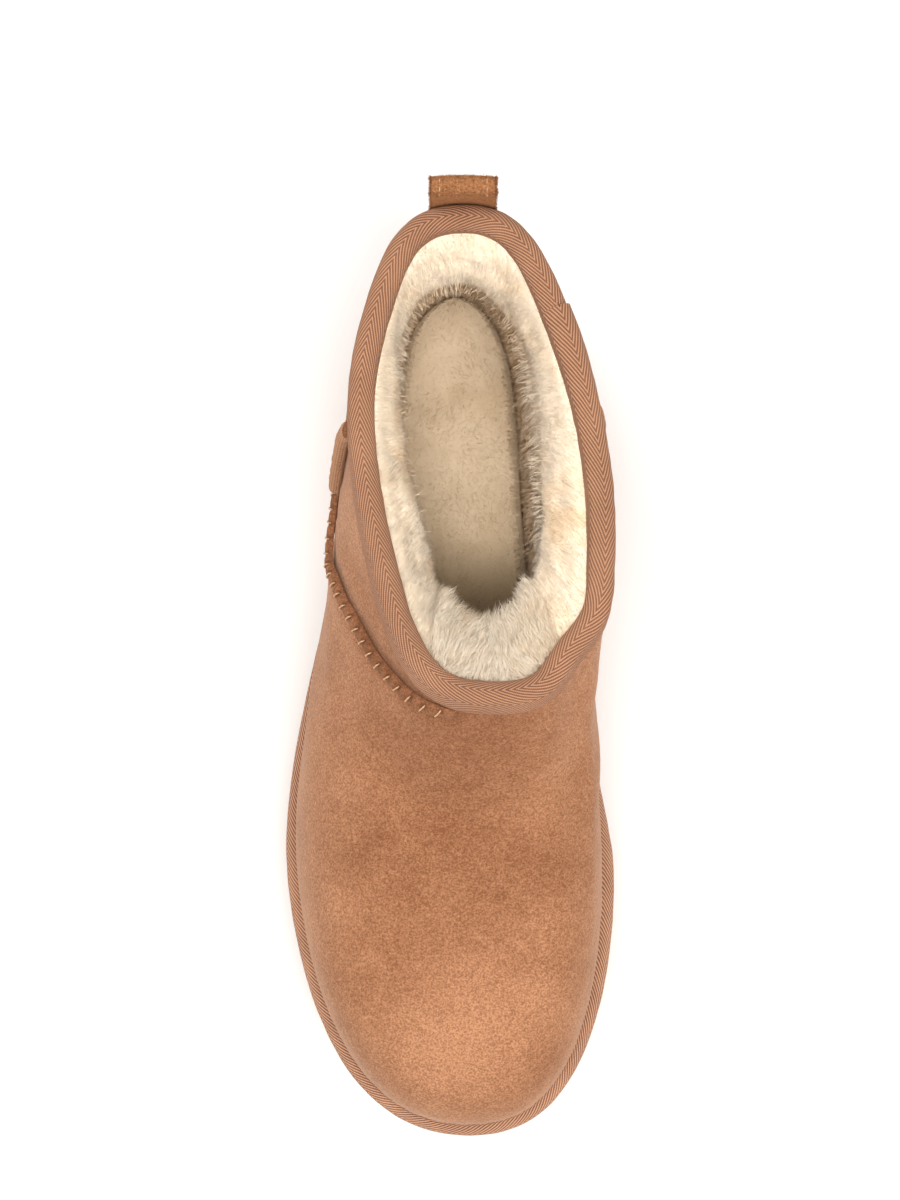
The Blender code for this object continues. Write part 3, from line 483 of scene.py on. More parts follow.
def mixColour(tree, share, first, second):
    # mixes two colours; each value may be a socket
    mixer = addNode(tree, "ShaderNodeMix", data_type="RGBA", blend_type="MIX")
    for key, value in ((0, share), (6, first), (7, second)):
        if isinstance(value, bpy.types.NodeSocket):
            tree.links.new(value, mixer.inputs[key])
        else:
            mixer.inputs[key].default_value = value if key == 0 else (*value, 1.0)
    return mixer.outputs[2]


def noiseOf(tree, coords, scale, detail=3.0, roughness=0.55, distortion=0.0):
    made = addNode(tree, "ShaderNodeTexNoise", {"Vector": coords, "Scale": scale, "Detail": detail,
                                               "Roughness": roughness, "Distortion": distortion})
    return made.outputs[0]


def spread(tree, value, low, high, to=(0.0, 1.0)):
    return addNode(tree, "ShaderNodeMapRange", {"Value": value, "From Min": low, "From Max": high,
                                               "To Min": to[0], "To Max": to[1]}).outputs[0]


def bumpOf(tree, shader, height, strength, distance, under=None):
    inputs = {"Height": height, "Strength": strength, "Distance": distance}
    if under is not None:
        inputs["Normal"] = under
    made = addNode(tree, "ShaderNodeBump", inputs)
    tree.links.new(made.outputs[0], shader.inputs["Normal"])
    return made.outputs[0]


def uvOf(tree):
    # the UV map in metres: along and across
    coords = addNode(tree, "ShaderNodeTexCoord").outputs["UV"]
    return addNode(tree, "ShaderNodeSeparateXYZ", {"Vector": coords}).outputs[:2]


def attributeOf(tree, name):
    return addNode(tree, "ShaderNodeAttribute", attribute_name=name).outputs["Fac"]


def tintOf(tree, tone, low, high, look):
    return mixColour(tree, spread(tree, tone, low, high), look["dark"], look["light"])


# the suede's noises: scale, detail, roughness and distortion, then each one's share of the tone
napNoises = {
    "blotch": (30.0, 3.0, 0.5, 0.4, 0.50), "brushed": (95.0, 4.0, 0.6, 0.8, 0.45),
    "nap": (760.0, 3.0, 0.72, 0.3, 0.80), "grain": (1700.0, 2.0, 0.6, 0.0, 0.70),
}


def suedeMaterial(name, look):
    # napped suede: soft blotches, brushed patches, fine grain and dark pores
    material, tree, shader, coords = startMaterial(name, 0.92, 0.24, look["sheen"], 0.15)
    noises = {part: noiseOf(tree, coords, *sizes[:4]) for part, sizes in napNoises.items()}
    shares = [(noises[part], sizes[4]) for part, sizes in napNoises.items()]
    # the shade attribute holds painted shade and painted highlight on the upper and welts, and a random tone
    # on the loop
    tone = weighed(tree, attributeOf(tree, "shade"), *shares)
    pores = spread(tree, noises["grain"], 0.38, 0.58, (look["pores"], 0.0))
    colour = mixColour(tree, pores, tintOf(tree, tone, 0.86, 1.58, look), look["pore"])
    tree.links.new(colour, shader.inputs["Base Color"])
    soft = bumpOf(tree, shader, noises["brushed"], 0.35, 0.0006)
    soft = bumpOf(tree, shader, noises["nap"], 0.45, 0.0003, soft)
    bumpOf(tree, shader, noises["grain"], 0.35, 0.00012, soft)
    return material


def twillMaterial(name, look):
    # herringbone twill: slanting ribs that turn at each band, each rib of short yarn floats
    material, tree, shader, coords = startMaterial(name, 0.9, 0.08, look["sheen"], 0.12)
    along, across = uvOf(tree)
    wander = mathOf(tree, "SUBTRACT", noiseOf(tree, coords, 160.0, 2.0), 0.5)
    across = weighed(tree, look["shift"], (across, 1.0), (wander, 0.0005))
    folded = mathOf(tree, "PINGPONG", across, look["band"])
    slant = math.radians(look["slant"])
    rib = weighed(tree, 0.0, (folded, math.cos(slant)), (along, -math.sin(slant)))
    yarn = weighed(tree, 0.0, (folded, math.sin(slant)), (along, math.cos(slant)))
    ribNumber = mathOf(tree, "FLOOR", mathOf(tree, "MULTIPLY", rib, 1.0 / look["rib"]))
    yarnWave = waveOf(tree, yarn, look["yarn"], mathOf(tree, "MULTIPLY", ribNumber, 1.9))
    height = weighed(tree, 0.5, (waveOf(tree, rib, look["rib"]), 0.44), (yarnWave, 0.13))
    patch = noiseOf(tree, coords, 55.0, 3.0)
    fluff = noiseOf(tree, coords, 1500.0, 2.0)
    # painted shade: the valleys between ribs and yarn floats are darker, with random fluff and patches
    tone = weighed(tree, -0.42, (fluff, 0.35), (patch, 0.5), (height, 1.0))
    tree.links.new(tintOf(tree, tone, 0.05, 1.0, look), shader.inputs["Base Color"])
    soft = bumpOf(tree, shader, height, 0.9, look["relief"])
    bumpOf(tree, shader, fluff, 0.25, 0.0001, soft)
    return material


def woolMaterial(name, look):
    # fleece: cream tips, tan roots and patches
    material, tree, shader, coords = startMaterial(name, 0.9, 0.2, (1.0, 0.93, 0.82), 0.1)
    patch = noiseOf(tree, coords, 60.0, 3.0, 0.55, 0.5)
    lock = noiseOf(tree, coords, 320.0, 3.0, 0.6, 0.6)
    tanned = noiseOf(tree, coords, 48.0, 2.0, 0.5, 0.8)
    tip = attributeOf(tree, "tip")
    tone = weighed(tree, 0.0, (tip, 0.6), (lock, 0.35), (patch, 0.55))
    colour = mixColour(tree, spread(tree, tone, 0.30, 1.0), look["root"], look["tip"])
    colour = mixColour(tree, spread(tree, tanned, 0.50, 0.72, (0.0, look["tanned"])), colour, look["tan"])
    # where the tip tone is low, a darker colour is mixed in: tan and painted shade on the fleece, painted
    # shadow on the footbed
    tanAndShade = spread(tree, mathOf(tree, "SUBTRACT", 0.2, tip), 0.0, 0.5, (0.0, 0.9))
    colour = mixColour(tree, tanAndShade, colour, look["tanAndShade"])
    tree.links.new(colour, shader.inputs["Base Color"])
    bumpOf(tree, shader, lock, 0.4, 0.0005)
    return material


def foamMaterial(name, look):
    material, tree, shader, coords = startMaterial(name, 0.72, 0.0, specular=0.35)
    patch = noiseOf(tree, coords, 40.0, 4.0)
    cells = noiseOf(tree, coords, 1100.0, 2.0)
    dust = noiseOf(tree, coords, 260.0, 5.0, 0.7)
    tone = weighed(tree, 0.0, (dust, 0.4), (patch, 0.6))
    tree.links.new(tintOf(tree, tone, 0.3, 0.7, look), shader.inputs["Base Color"])
    soft = bumpOf(tree, shader, dust, 0.25, 0.0004)
    bumpOf(tree, shader, cells, 0.3, 0.00012, soft)
    return material


def threadMaterial(name, look):
    # twisted thread
    material, tree, shader, coords = startMaterial(name, 0.6, 0.2, look["light"], 0.4)
    along, across = uvOf(tree)
    turned = mathOf(tree, "MULTIPLY", across, 2.0 * math.pi / 0.002)
    twist = weighed(tree, 0.5, (waveOf(tree, along, 0.0008, turned), 0.5))
    tone = weighed(tree, 0.0, (twist, 0.5), (noiseOf(tree, coords, 400.0), 0.5))
    tree.links.new(mixColour(tree, tone, look["dark"], look["light"]), shader.inputs["Base Color"])
    bumpOf(tree, shader, twist, 0.6, 0.00012)
    return material


upperSuede = suedeMaterial("upperSuede", {
    "dark": (0.205, 0.076, 0.031), "light": (0.478, 0.232, 0.121), "pore": (0.15, 0.055, 0.023),
    "pores": 0.5, "sheen": (1.0, 0.74, 0.56)})
loopSuede = suedeMaterial("loopSuede", {
    "dark": (0.225, 0.092, 0.036), "light": (0.450, 0.205, 0.088), "pore": (0.13, 0.05, 0.02),
    "pores": 0.5, "sheen": (0.40, 0.18, 0.08)})
seamSuede = suedeMaterial("seamSuede", {
    "dark": (0.150, 0.058, 0.025), "light": (0.400, 0.180, 0.088), "pore": (0.12, 0.045, 0.02),
    "pores": 0.5, "sheen": (0.6, 0.38, 0.24)})
collarTwill = twillMaterial("collarTwill", {
    "dark": (0.175, 0.076, 0.042), "light": (0.545, 0.285, 0.168), "sheen": (1.0, 0.8, 0.66),
    "band": 0.0052, "shift": 0.0002, "slant": 23.0, "rib": 0.00084, "yarn": 0.00054, "relief": 0.00038})
soleTwill = twillMaterial("soleTwill", {
    "dark": (0.160, 0.074, 0.045), "light": (0.715, 0.390, 0.244), "sheen": (1.0, 0.8, 0.66),
    "band": 0.0110, "shift": 0.0030, "slant": 30.0, "rib": 0.00080, "yarn": 0.00052, "relief": 0.00030})
fleeceWool = woolMaterial("fleeceWool", {
    "root": (0.86, 0.68, 0.48), "tip": (0.97, 0.87, 0.72), "tan": (0.88, 0.67, 0.43),
    "tanned": 0.65, "tanAndShade": (0.74, 0.50, 0.28)})
# the footbed's tanAndShade colour is painted shadow under the instep
footbedWool = woolMaterial("footbedWool", {
    "root": (0.60, 0.46, 0.30), "tip": (0.84, 0.69, 0.50), "tan": (0.60, 0.45, 0.28),
    "tanned": 0.5, "tanAndShade": (0.28, 0.20, 0.115)})
outsoleFoam = foamMaterial("outsoleFoam", {"dark": (0.26, 0.135, 0.065), "light": (0.36, 0.195, 0.10)})
midsoleFoam = foamMaterial("midsoleFoam", {"dark": (0.50, 0.40, 0.30), "light": (0.64, 0.53, 0.41)})
seamThread = threadMaterial("seamThread", {"dark": (0.40, 0.20, 0.10), "light": (0.68, 0.44, 0.26)})
wrapThread = threadMaterial("wrapThread", {"dark": (0.20, 0.085, 0.040), "light": (0.50, 0.27, 0.145)})
print("materials ready")


# sizes of the collar's folded tape
bindingLook = {
    "tape": 0.0011, "outside": 0.0048, "inside": 0.0060, "crown": 0.0030, "lap": 0.0009, "join": 0.879,
    "pile": 0.0026, "columns": 480, "legRows": 8, "crownRows": 20, "uneven": 0.00016,
    "lapFrom": 0.10, "lapOver": 0.09, "wobble": 0.00025, "wobbleSize": 0.011, "fray": 0.0001,
    "fraySize": 0.0032,
}


# Seam lines as (around, up): the upper is dented beside them, with painted shade there
vampSeamOuter = [
    (0.132, 0.030), (0.137, 0.160), (0.150, 0.330), (0.170, 0.470), (0.190, 0.553), (0.206, 0.582),
    (0.222, 0.592), (0.242, 0.625), (0.272, 0.712), (0.299, 0.776), (0.328, 0.838), (0.354, 0.880),
    (0.381, 0.913), (0.404, 0.937), (0.428, 0.953), (0.451, 0.965), (0.474, 0.971),
]
vampSeamInner = [
    (0.868, 0.030), (0.862, 0.160), (0.846, 0.330), (0.820, 0.470), (0.790, 0.580), (0.762, 0.670),
    (0.738, 0.752), (0.716, 0.822), (0.698, 0.872), (0.682, 0.912), (0.667, 0.937), (0.654, 0.951),
]


def seamFrame(points, step):
    # centres along a seam at even steps, with its outward, forward and collar-ward directions
    knots = np.linspace(0.0, 1.0, len(points))
    table = np.array(points)
    fine = np.linspace(0.0, 1.0, 601)
    slopes = np.gradient(table, knots, axis=0)
    i = np.clip((fine * (len(points) - 1)).astype(int), 0, len(points) - 2)
    h = knots[1] - knots[0]
    t = ((fine - knots[i]) / h)[:, None]
    curve = (2 * t**3 - 3 * t**2 + 1) * table[i] + (t**3 - 2 * t**2 + t) * h * slopes[i]
    curve += (3 * t**2 - 2 * t**3) * table[i + 1] + (t**3 - t**2) * h * slopes[i + 1]
    line = skin(curve[:, 0], curve[:, 1])
    run = runOf(line)
    even = np.linspace(0.0, run[-1], int(run[-1] / step) + 1)
    places, ups = np.interp(even, run, curve[:, 0]), np.interp(even, run, curve[:, 1])
    centre = skin(places, ups)
    normal = skinNormal(places, ups)
    forward = unit(np.gradient(centre, axis=0))
    collarward = np.cross(normal, forward)
    collarward *= np.sign(collarward[len(centre) // 2, 2])
    return {"run": even, "centre": centre, "normal": normal, "forward": forward, "collarward": collarward}


# Upper: one suede shell with soft creases
upperLook = {
    "columns": 400, "rows": 62, "uneven": 0.00030, "ripple": 0.00010, "pucker": 0.00022,
    "puckerPitch": 0.0072, "puckerHigh": 0.006, "unevenSize": 0.020, "rippleSize": 0.0062,
    "footHeld": 0.10, "rimHeld": 0.06,
    # beside the seams, with painted shade
    "trough": 0.0004, "troughAt": 0.0024, "troughWide": 0.0016, "fold": 0.0004, "foldAt": 0.0072,
    "foldWide": 0.0030, "seamPaintedShade": 0.22, "seamReach": 0.0032,
    # from (around, up) to (around, up), half width and height in metres; a negative height is a trough
    "creases": [
        (0.400, 0.800, 0.600, 0.800, 0.0090, -0.0009), (0.380, 0.700, 0.470, 0.670, 0.0070, 0.0006),
        (0.600, 0.760, 0.690, 0.640, 0.0075, -0.0008), (0.620, 0.560, 0.700, 0.470, 0.0065, 0.0006),
        (0.300, 0.640, 0.360, 0.720, 0.0060, -0.0007), (0.230, 0.420, 0.330, 0.560, 0.0075, -0.0008),
        (0.240, 0.300, 0.330, 0.420, 0.0060, 0.0005), (0.060, 0.560, 0.170, 0.500, 0.0080, -0.0010),
        (0.050, 0.440, 0.150, 0.400, 0.0070, 0.0007), (0.830, 0.510, 0.940, 0.560, 0.0080, -0.0010),
        (0.850, 0.390, 0.950, 0.420, 0.0070, 0.0007), (0.960, 0.640, 1.040, 0.640, 0.0075, -0.0008),
        (0.720, 0.300, 0.780, 0.420, 0.0070, -0.0007), (0.540, 0.380, 0.600, 0.320, 0.0060, -0.0004),
        (0.400, 0.360, 0.450, 0.420, 0.0070, -0.0004),
    ],
    # painted shade and painted highlight, partly the suede's own darker and lighter patches: x, y, radius,
    # how much
    "shades": [
        (0.000, -0.022, 0.018, -0.18), (-0.018, -0.020, 0.014, -0.12), (0.020, -0.022, 0.014, -0.12),
        (0.002, -0.047, 0.016, -0.14), (0.012, -0.038, 0.012, -0.08), (0.029, -0.061, 0.012, -0.12),
        (0.013, -0.080, 0.012, -0.10), (-0.028, -0.055, 0.012, -0.26), (-0.012, -0.072, 0.014, -0.05),
        (-0.031, -0.038, 0.014, 0.10), (-0.035, -0.068, 0.016, 0.10), (0.002, -0.112, 0.022, 0.26),
        (0.026, -0.100, 0.014, 0.10), (0.034, -0.030, 0.012, 0.06), (-0.028, -0.100, 0.014, 0.04),
    ],
}


def lineOnSkin(start, end, steps=28):
    shares = np.linspace(0.0, 1.0, steps)
    return skin(start[0] + (end[0] - start[0]) * shares, start[1] + (end[1] - start[1]) * shares)


def makeUpper(look):
    around = np.arange(look["columns"]) / look["columns"]
    even = np.linspace(0.0, 1.0, look["rows"] + 1)
    aroundGrid, upGrid = np.meshgrid(around, blend(even) * 0.35 + even * 0.65)
    places = skin(aroundGrid, upGrid)
    normals = skinNormal(aroundGrid, upGrid)
    held = blend(upGrid / look["footHeld"]) * blend((1.0 - upGrid) / look["rimHeld"])
    rise = look["uneven"] * looseNoise(places, look["unevenSize"], 1.0)
    rise += look["ripple"] * looseNoise(places, look["rippleSize"], 2.0)
    for fromAround, fromUp, toAround, toUp, width, height in look["creases"]:
        line = lineOnSkin((fromAround, fromUp), (toAround, toUp))
        gaps = np.linalg.norm(places[:, :, None, :] - line[None, None], axis=3)
        nearest = gaps.argmin(axis=2) / (len(line) - 1.0)
        taper = np.sin(math.pi * np.clip(nearest * 0.9 + 0.05, 0.0, 1.0))
        rise += height * taper * np.exp(-(gaps.min(axis=2) / width) ** 2)
    rise *= held
    high = places[..., 2] - places[0, :, 2]
    run = np.linspace(0.0, 0.66, look["columns"], endpoint=False)[None, :]
    wander = looseNoise(places[:1], 0.018, 4.0)
    waves = np.sin(2.0 * math.pi * run / look["puckerPitch"] + 5.0 * wander)
    rise += look["pucker"] * np.exp(-(high / look["puckerHigh"])) * waves * blend(upGrid / 0.02)
    seams = (vampSeamOuter, vampSeamInner)
    seamPoints = np.concatenate([seamFrame(points, 0.001)["centre"] for points in seams])
    near = np.linalg.norm(places[:, :, None] - seamPoints[None, None, ::2], axis=3).min(axis=2)
    rise -= look["trough"] * np.exp(-((near - look["troughAt"]) / look["troughWide"]) ** 2) * held
    rise += look["fold"] * np.exp(-((near - look["foldAt"]) / look["foldWide"]) ** 2) * held
    piece = wrapRings("upper_suede", places + normals * rise[..., None])
    addWall(piece, last["suede"])
    spots = pointsOf(piece)
    # painted shade and painted highlight from the shades table
    shade = np.zeros(len(spots))
    for x, y, radius, much in look["shades"]:
        shade += much * np.exp(-((spots[:, 0] - x) ** 2 + (spots[:, 1] - y) ** 2) / radius**2)
    # painted shade beside the seams, where the dent lies
    tree = treeOf(seamPoints)
    away = np.array([tree.find(spot)[2] for spot in spots])
    paintPoints(piece, "shade", shade - look["seamPaintedShade"] * np.exp(-(away / look["seamReach"]) ** 2))
    finishPiece(piece, upperSuede, "suede", "upper", angle=60)


makeUpper(upperLook)


# Raised seams: a welt of two suede edges, with thread over it
seamLook = {
    "width": 0.0042, "height": 0.0022, "step": 0.0004, "stitch": 0.0047, "thread": 0.00025, "slant": 0.0016,
    "sideWidth": 0.0050, "sideHeight": 0.0030, "wrap": 0.00115, "wrapThread": 0.00040,
    "pitPlace": 0.26, "pitSize": 0.0007, "wrapLean": 0.0012, "loopOut": 0.00055,
}
# the welt's section as (across, lift) shares
weltShape = [
    (-0.50, 0.00), (-0.49, 0.42), (-0.42, 0.74), (-0.28, 0.92), (-0.12, 0.97), (0.00, 0.88), (0.12, 0.97),
    (0.28, 0.94), (0.42, 0.76), (0.49, 0.42), (0.50, 0.00), (0.25, -0.10), (0.00, -0.10), (-0.25, -0.10),
]
weltSeat = 2.4 * last["gap"]


def readAlong(seam, key, run):
    return readLine(run, seam["run"], seam[key])


def onSeam(seam, run, across, lift):
    # a point on the seam, at a run along it, a distance towards the collar and a lift off the skin
    place = readAlong(seam, "centre", run)
    place = place + readAlong(seam, "collarward", run) * np.asarray(across)[..., None]
    return place + readAlong(seam, "normal", run) * np.asarray(lift)[..., None]


def makeWelt(name, seam, width, height, heights, pits, node):
    # a welt along a seam, with a pinched pit at each run in pits, just past its crest
    across, lifts = np.array(weltShape).T
    pitPlace, pitSize = seamLook["pitPlace"], seamLook["pitSize"]
    rings = []
    for k, run in enumerate(seam["run"]):
        uneven = 1.0 + 0.07 * noise.noise(Vector((run / 0.004, 3.0, len(name))))
        near = np.exp(-(np.abs(pits - run).min() / pitSize) ** 2) if len(pits) else 0.0
        pit = near * np.exp(-((across - pitPlace) / 0.16) ** 2) * (lifts > 0.5)
        lift = weltSeat + (lifts * (1.0 - 0.14 * near) - 0.42 * pit) * height * heights[k] * uneven
        rings.append(onSeam(seam, np.full(len(across), run), across * width * uneven, lift))
    piece = wrapRings(name, rings)
    closeEnds(piece)
    tree = treeOf(seam["centre"])
    # the welt a little darker all over, and painted shadow in each stitch pit
    shade = []
    for spot in pointsOf(piece):
        k = tree.find(spot)[1]
        sideways = (spot - seam["centre"][k]) @ seam["collarward"][k] - pitPlace * width
        near = np.abs(pits - seam["run"][k]).min() if len(pits) else 1.0
        shade.append(-0.12 - 0.75 * math.exp(-(near / pitSize) ** 2 - (sideways / (0.20 * width)) ** 2))
    paintPoints(piece, "shade", shade)
    finishPiece(piece, seamSuede, "seam_thread", node, angle=60)


def overWelt(seam, run, across, width, height, heights):
    # a point that lies on the welt's surface
    shape = np.array(weltShape[:11])
    lift = np.interp(np.asarray(across) / width, shape[:, 0], shape[:, 1])
    return onSeam(seam, run, across, weltSeat + lift * height * np.interp(run, seam["run"], heights))


def makeVampSeam(side, points, look):
    seam = seamFrame(points, look["step"])
    run = seam["run"]
    stitches = np.arange(look["stitch"] * 0.5, run[-1] - 0.003, look["stitch"])
    uneven = [noise.noise(Vector((k * 2.3, 1.7, len(side)))) for k in range(len(stitches))]
    stitches += 0.0005 * np.array(uneven)
    pits = stitches + look["slant"]
    heights = np.clip((run[-1] - run) / 0.012 + 0.15, 0.15, 1.0)
    makeWelt("welt_" + side, seam, look["width"], look["height"], heights, pits, "vamp_seam_" + side)
    # blanket stitches: each runs from its pit down over the vamp's side of the welt
    turns = np.linspace(0.0, 1.0, 11)
    lines = []
    for k, start in enumerate(stitches):
        loose = 1.0 + 0.5 * noise.noise(Vector((k * 1.7, 0.3, len(side))))
        across = look["width"] * (look["pitPlace"] - 0.86 * turns)
        along = start + look["slant"] * (1.0 - turns) * loose
        line = overWelt(seam, along, across, look["width"], look["height"], heights)
        above = look["thread"] * 0.7 - 0.0010 * np.exp(-(turns / 0.10) ** 2)
        lines.append(line + readAlong(seam, "normal", along) * above[:, None])
    lift = np.stack([readAlong(seam, "normal", np.full(11, start)) for start in stitches])
    over = makeTubes("thread_" + side, lines, look["thread"], lift)
    # the thread that runs on along the welt's foot, drawn up a little at each stitch
    fine = np.linspace(0.001, run[-1] - 0.004, int(run[-1] / 0.0005))
    near = np.abs(fine[:, None] - stitches[None, :]).min(axis=1)
    drawn = 0.0004 * np.exp(-(near / 0.0009) ** 2)
    edge = onSeam(seam, fine, -look["width"] * 0.56 - 0.0003 + drawn, 0.0004 + drawn * 0.8)
    up = readAlong(seam, "normal", fine)[None]
    chain = makeTubes("edge_thread_" + side, [edge], look["thread"] * 0.68, up)
    threads = joinPieces([over, chain], "vamp_thread_" + side)
    finishPiece(threads, seamThread, "seam_thread")


def makeSideSeam(side, top, foot, points, look):
    # a wrapped seam from the tape down to just over the vamp's welt
    vamp = seamFrame(points, look["step"])
    beside = []
    for around in (foot - 0.004, foot, foot + 0.004):
        ups = np.linspace(0.2, 0.95, 300)
        line = skin(np.full(300, around), ups)
        nearest = np.linalg.norm(line[:, None] - vamp["centre"][None], axis=2).min(axis=1).argmin()
        beside.append((ups[nearest], line[nearest]))
    footUp = beside[1][0]
    eastNorthUp = beside[2][1] - beside[0][1]
    slope = abs(eastNorthUp[2]) / math.hypot(*eastNorthUp[:2])
    wall = np.linalg.norm(skin(foot, footUp + 0.01) - skin(foot, footUp)) / 0.01
    clear = look["width"] / 2 * math.hypot(1.0, slope) + look["sideWidth"] / 4 * slope + last["gap"]
    footUp += clear / wall
    topUp = float(upBelowRim(top, bindingLook["outside"] - 0.0004)[0])
    middle = ((foot + top) / 2, (footUp + topUp) / 2)
    seam = seamFrame([(foot, footUp), middle, (top, topUp)], look["step"])
    run = seam["run"]
    beyond = skin(np.linspace(foot, top, len(run)) + 0.002, np.linspace(footUp, topUp, len(run)))
    seam["collarward"] = unit(beyond - seam["centre"])
    width, height = look["sideWidth"], look["sideHeight"]
    heights = 0.86 * np.clip((run[-1] - run) / 0.006 * 0.45 + 0.55, 0.55, 1.0)
    makeWelt("side_welt_" + side, seam, width, height, heights, np.array([]), "side_seam_" + side)
    starts = np.arange(0.0006, run[-1] - 0.0004, look["wrap"])
    turns = np.linspace(0.02, 0.98, 13)
    lines = []
    lifts = []
    for k, start in enumerate(starts):
        loose, wild, high = (noise.noise(Vector((k * 0.9, seed, len(side)))) for seed in (7.3, 11.9, 17.1))
        across = width * ((0.55 + 0.06 * loose) * np.cos(math.pi * turns) + 0.05 * wild)
        over = height * 1.02 * np.interp(start, run, heights) * (1.0 + 0.16 * max(high, 0.0))
        lift = weltSeat + (over + look["wrapThread"] * 0.7) * np.sin(math.pi * turns) ** 0.6
        along = start + look["wrapLean"] * (0.5 - turns) * (1.0 + 1.2 * loose)
        along += 0.0003 * wild * np.sin(3.0 * math.pi * turns)
        lines.append(onSeam(seam, along, across, lift))
        lifts.append(readAlong(seam, "forward", np.full(13, start)))
    wraps = makeTubes("wraps_" + side, lines, look["wrapThread"] * 1.05, np.array(lifts))
    # the looping edge of the overlock, on both sides of the welt
    fine = np.linspace(0.0004, run[-1] - 0.0004, int(run[-1] / 0.0002))
    places = np.stack([fine, fine * 0, fine * 0], axis=1)
    phase = 2.0 * math.pi * fine / look["wrap"] + 2.0 * looseNoise(places, 0.004, 3.0)
    out = width * 0.56 + look["loopOut"] * np.cos(phase)
    lift = 0.0009 + 0.0005 * np.sin(phase)
    edges = [onSeam(seam, fine + 0.0002 * np.sin(phase), sign * out, lift) for sign in (-1, 1)]
    up = np.stack([readAlong(seam, "normal", fine)] * 2)
    chains = makeTubes("loops_" + side, edges, look["wrapThread"] * 0.72, up)
    threads = joinPieces([wraps, chains], "side_thread_" + side)
    finishPiece(threads, wrapThread, "seam_thread")


makeVampSeam("outer", vampSeamOuter, seamLook)
makeVampSeam("inner", vampSeamInner, seamLook)
makeSideSeam("outer", 0.215, 0.190, vampSeamOuter, seamLook)
makeSideSeam("inner", 0.797, 0.801, vampSeamInner, seamLook)


# Collar binding: twill tape folded over the rim, lapped where its ends meet
def bindingRings(look):
    # the tape's outer face, from its lower edge outside over the rim to its lower edge inside
    inside = last["suede"] + look["pile"] + 2.0 * last["gap"]
    places = np.arange(look["columns"]) / look["columns"]
    places = np.sort(np.append(places, (look["join"] - 0.0004, look["join"] + 0.0001)))
    lapping = blend((places - look["join"] + look["lapFrom"]) / look["lapOver"])
    lap = look["lap"] * np.where(places < look["join"], lapping, 0.0)
    flat = np.ones(len(places))
    rim = skin(places, flat)
    normal = skinNormal(places, flat)
    upward = unit(rim - skin(places, 0.99 * flat))
    thick = look["tape"]
    wobble = look["wobble"] * looseNoise(rim, look["wobbleSize"], 5.0)
    wobble += look["fray"] * looseNoise(rim, look["fraySize"], 6.0)
    rings = []
    for share in np.linspace(1.0, 0.12, look["legRows"]):
        out = (last["gap"] + thick + lap) * (1.0 - 0.25 * share**6)
        drop = (look["outside"] + lap * 0.8 + wobble) * share
        rings.append(offsetSkin(places, upBelowRim(places, drop), out))
    for k in range(look["crownRows"] + 1):
        turn = math.pi * k / look["crownRows"]
        lapped = lap * (0.5 + 0.5 * math.cos(turn))
        across = -inside / 2 + (inside / 2 + last["gap"] + thick) * math.cos(turn) + lapped
        lift = last["gap"] + look["crown"] * math.sin(turn) ** 0.9 + lapped * math.sin(turn)
        rings.append(rim + normal * across[:, None] + upward * lift[:, None])
    within = -(inside + last["gap"] + thick) * flat
    for share in np.linspace(0.2, 1.0, look["legRows"] - 2):
        rings.append(offsetSkin(places, upBelowRim(places, look["inside"] * share), within))
    return np.array(rings)


def makeBinding(look):
    rings = bindingRings(look)
    rings = rings + outwardOf(rings) * (look["uneven"] * looseNoise(rings, 0.0045, 8.0))[..., None]
    piece = wrapRings("binding_tape", rings)
    addWall(piece, look["tape"] * 0.9)
    finishPiece(piece, collarTwill, "woven_tape", "collar_binding", angle=70)


makeBinding(bindingLook)


# Sole tape: the same twill, wrapped round the midsole's side and turned onto its top
soleTapeLook = {"columns": 560, "sideRows": 10, "arcRows": 7, "ledgeRows": 4, "uneven": 0.00014}


def makeSoleTape(look):
    places = np.arange(look["columns"]) / look["columns"]
    tape, roundness = last["tape"], last["tapeRound"]

    def outline(inset):
        return insetSole(places, np.full(len(places), inset))

    def topOf(plan):
        return midsoleTop(plan[:, 1]) + last["gap"] + tape

    rings = []
    plan = outline(0.0)
    low = outsoleTop(plan[:, 1]) + last["gap"]
    high = topOf(plan) - roundness
    for share in np.linspace(0.0, 1.0, look["sideRows"], endpoint=False):
        inset = 0.0002 if share == 0 else -0.0002 * math.sin(math.pi * share)
        rings.append(withHeight(outline(inset), low + (high - low) * share))
    for k in range(look["arcRows"] + 1):
        turn = math.pi / 2 * k / look["arcRows"]
        plan = outline(roundness * (1.0 - math.cos(turn)))
        rings.append(withHeight(plan, topOf(plan) - roundness * (1.0 - math.sin(turn))))
    edge = rings[-1]
    foot = footLine(places, -1.4 * last["gap"])
    foot = withHeight(foot, topOf(foot))
    for share in np.linspace(0.0, 1.0, look["ledgeRows"] + 1)[1:]:
        rings.append(edge + (foot - edge) * share)
    rings = np.array(rings)
    held = blend(np.arange(len(rings)) / 3.0) * blend((len(rings) - 1 - np.arange(len(rings))) / 2.0)
    uneven = look["uneven"] * looseNoise(rings, 0.006, 9.0) * held[:, None]
    rings = rings + outwardOf(rings) * uneven[..., None]
    piece = wrapRings("sole_tape_twill", rings)
    addWall(piece, tape * 0.85)
    finishPiece(piece, soleTwill, "woven_tape", "sole_tape", angle=70)


makeSoleTape(soleTapeLook)
print("suede, seams and tapes made")


# Fleece: the pile's own face, and locks of wool combed over it
fleeceLook = {
    "columns": 340, "footPile": 0.0095, "rollDrop": 0.0190, "under": 0.0022,
    "lump": 0.0011, "lumpSize": 0.0085, "curl": 0.0004, "curlSize": 0.0032, "rollRows": 30, "faceRows": 62,
    # the combed wool
    "strands": 16500, "width": 0.000072, "length": 0.0036, "lie": 0.95, "sweep": 0.7,
    "stand": 0.46, "wild": 0.14, "clump": 0.0024, "gather": 0.28, "bent": False,
}


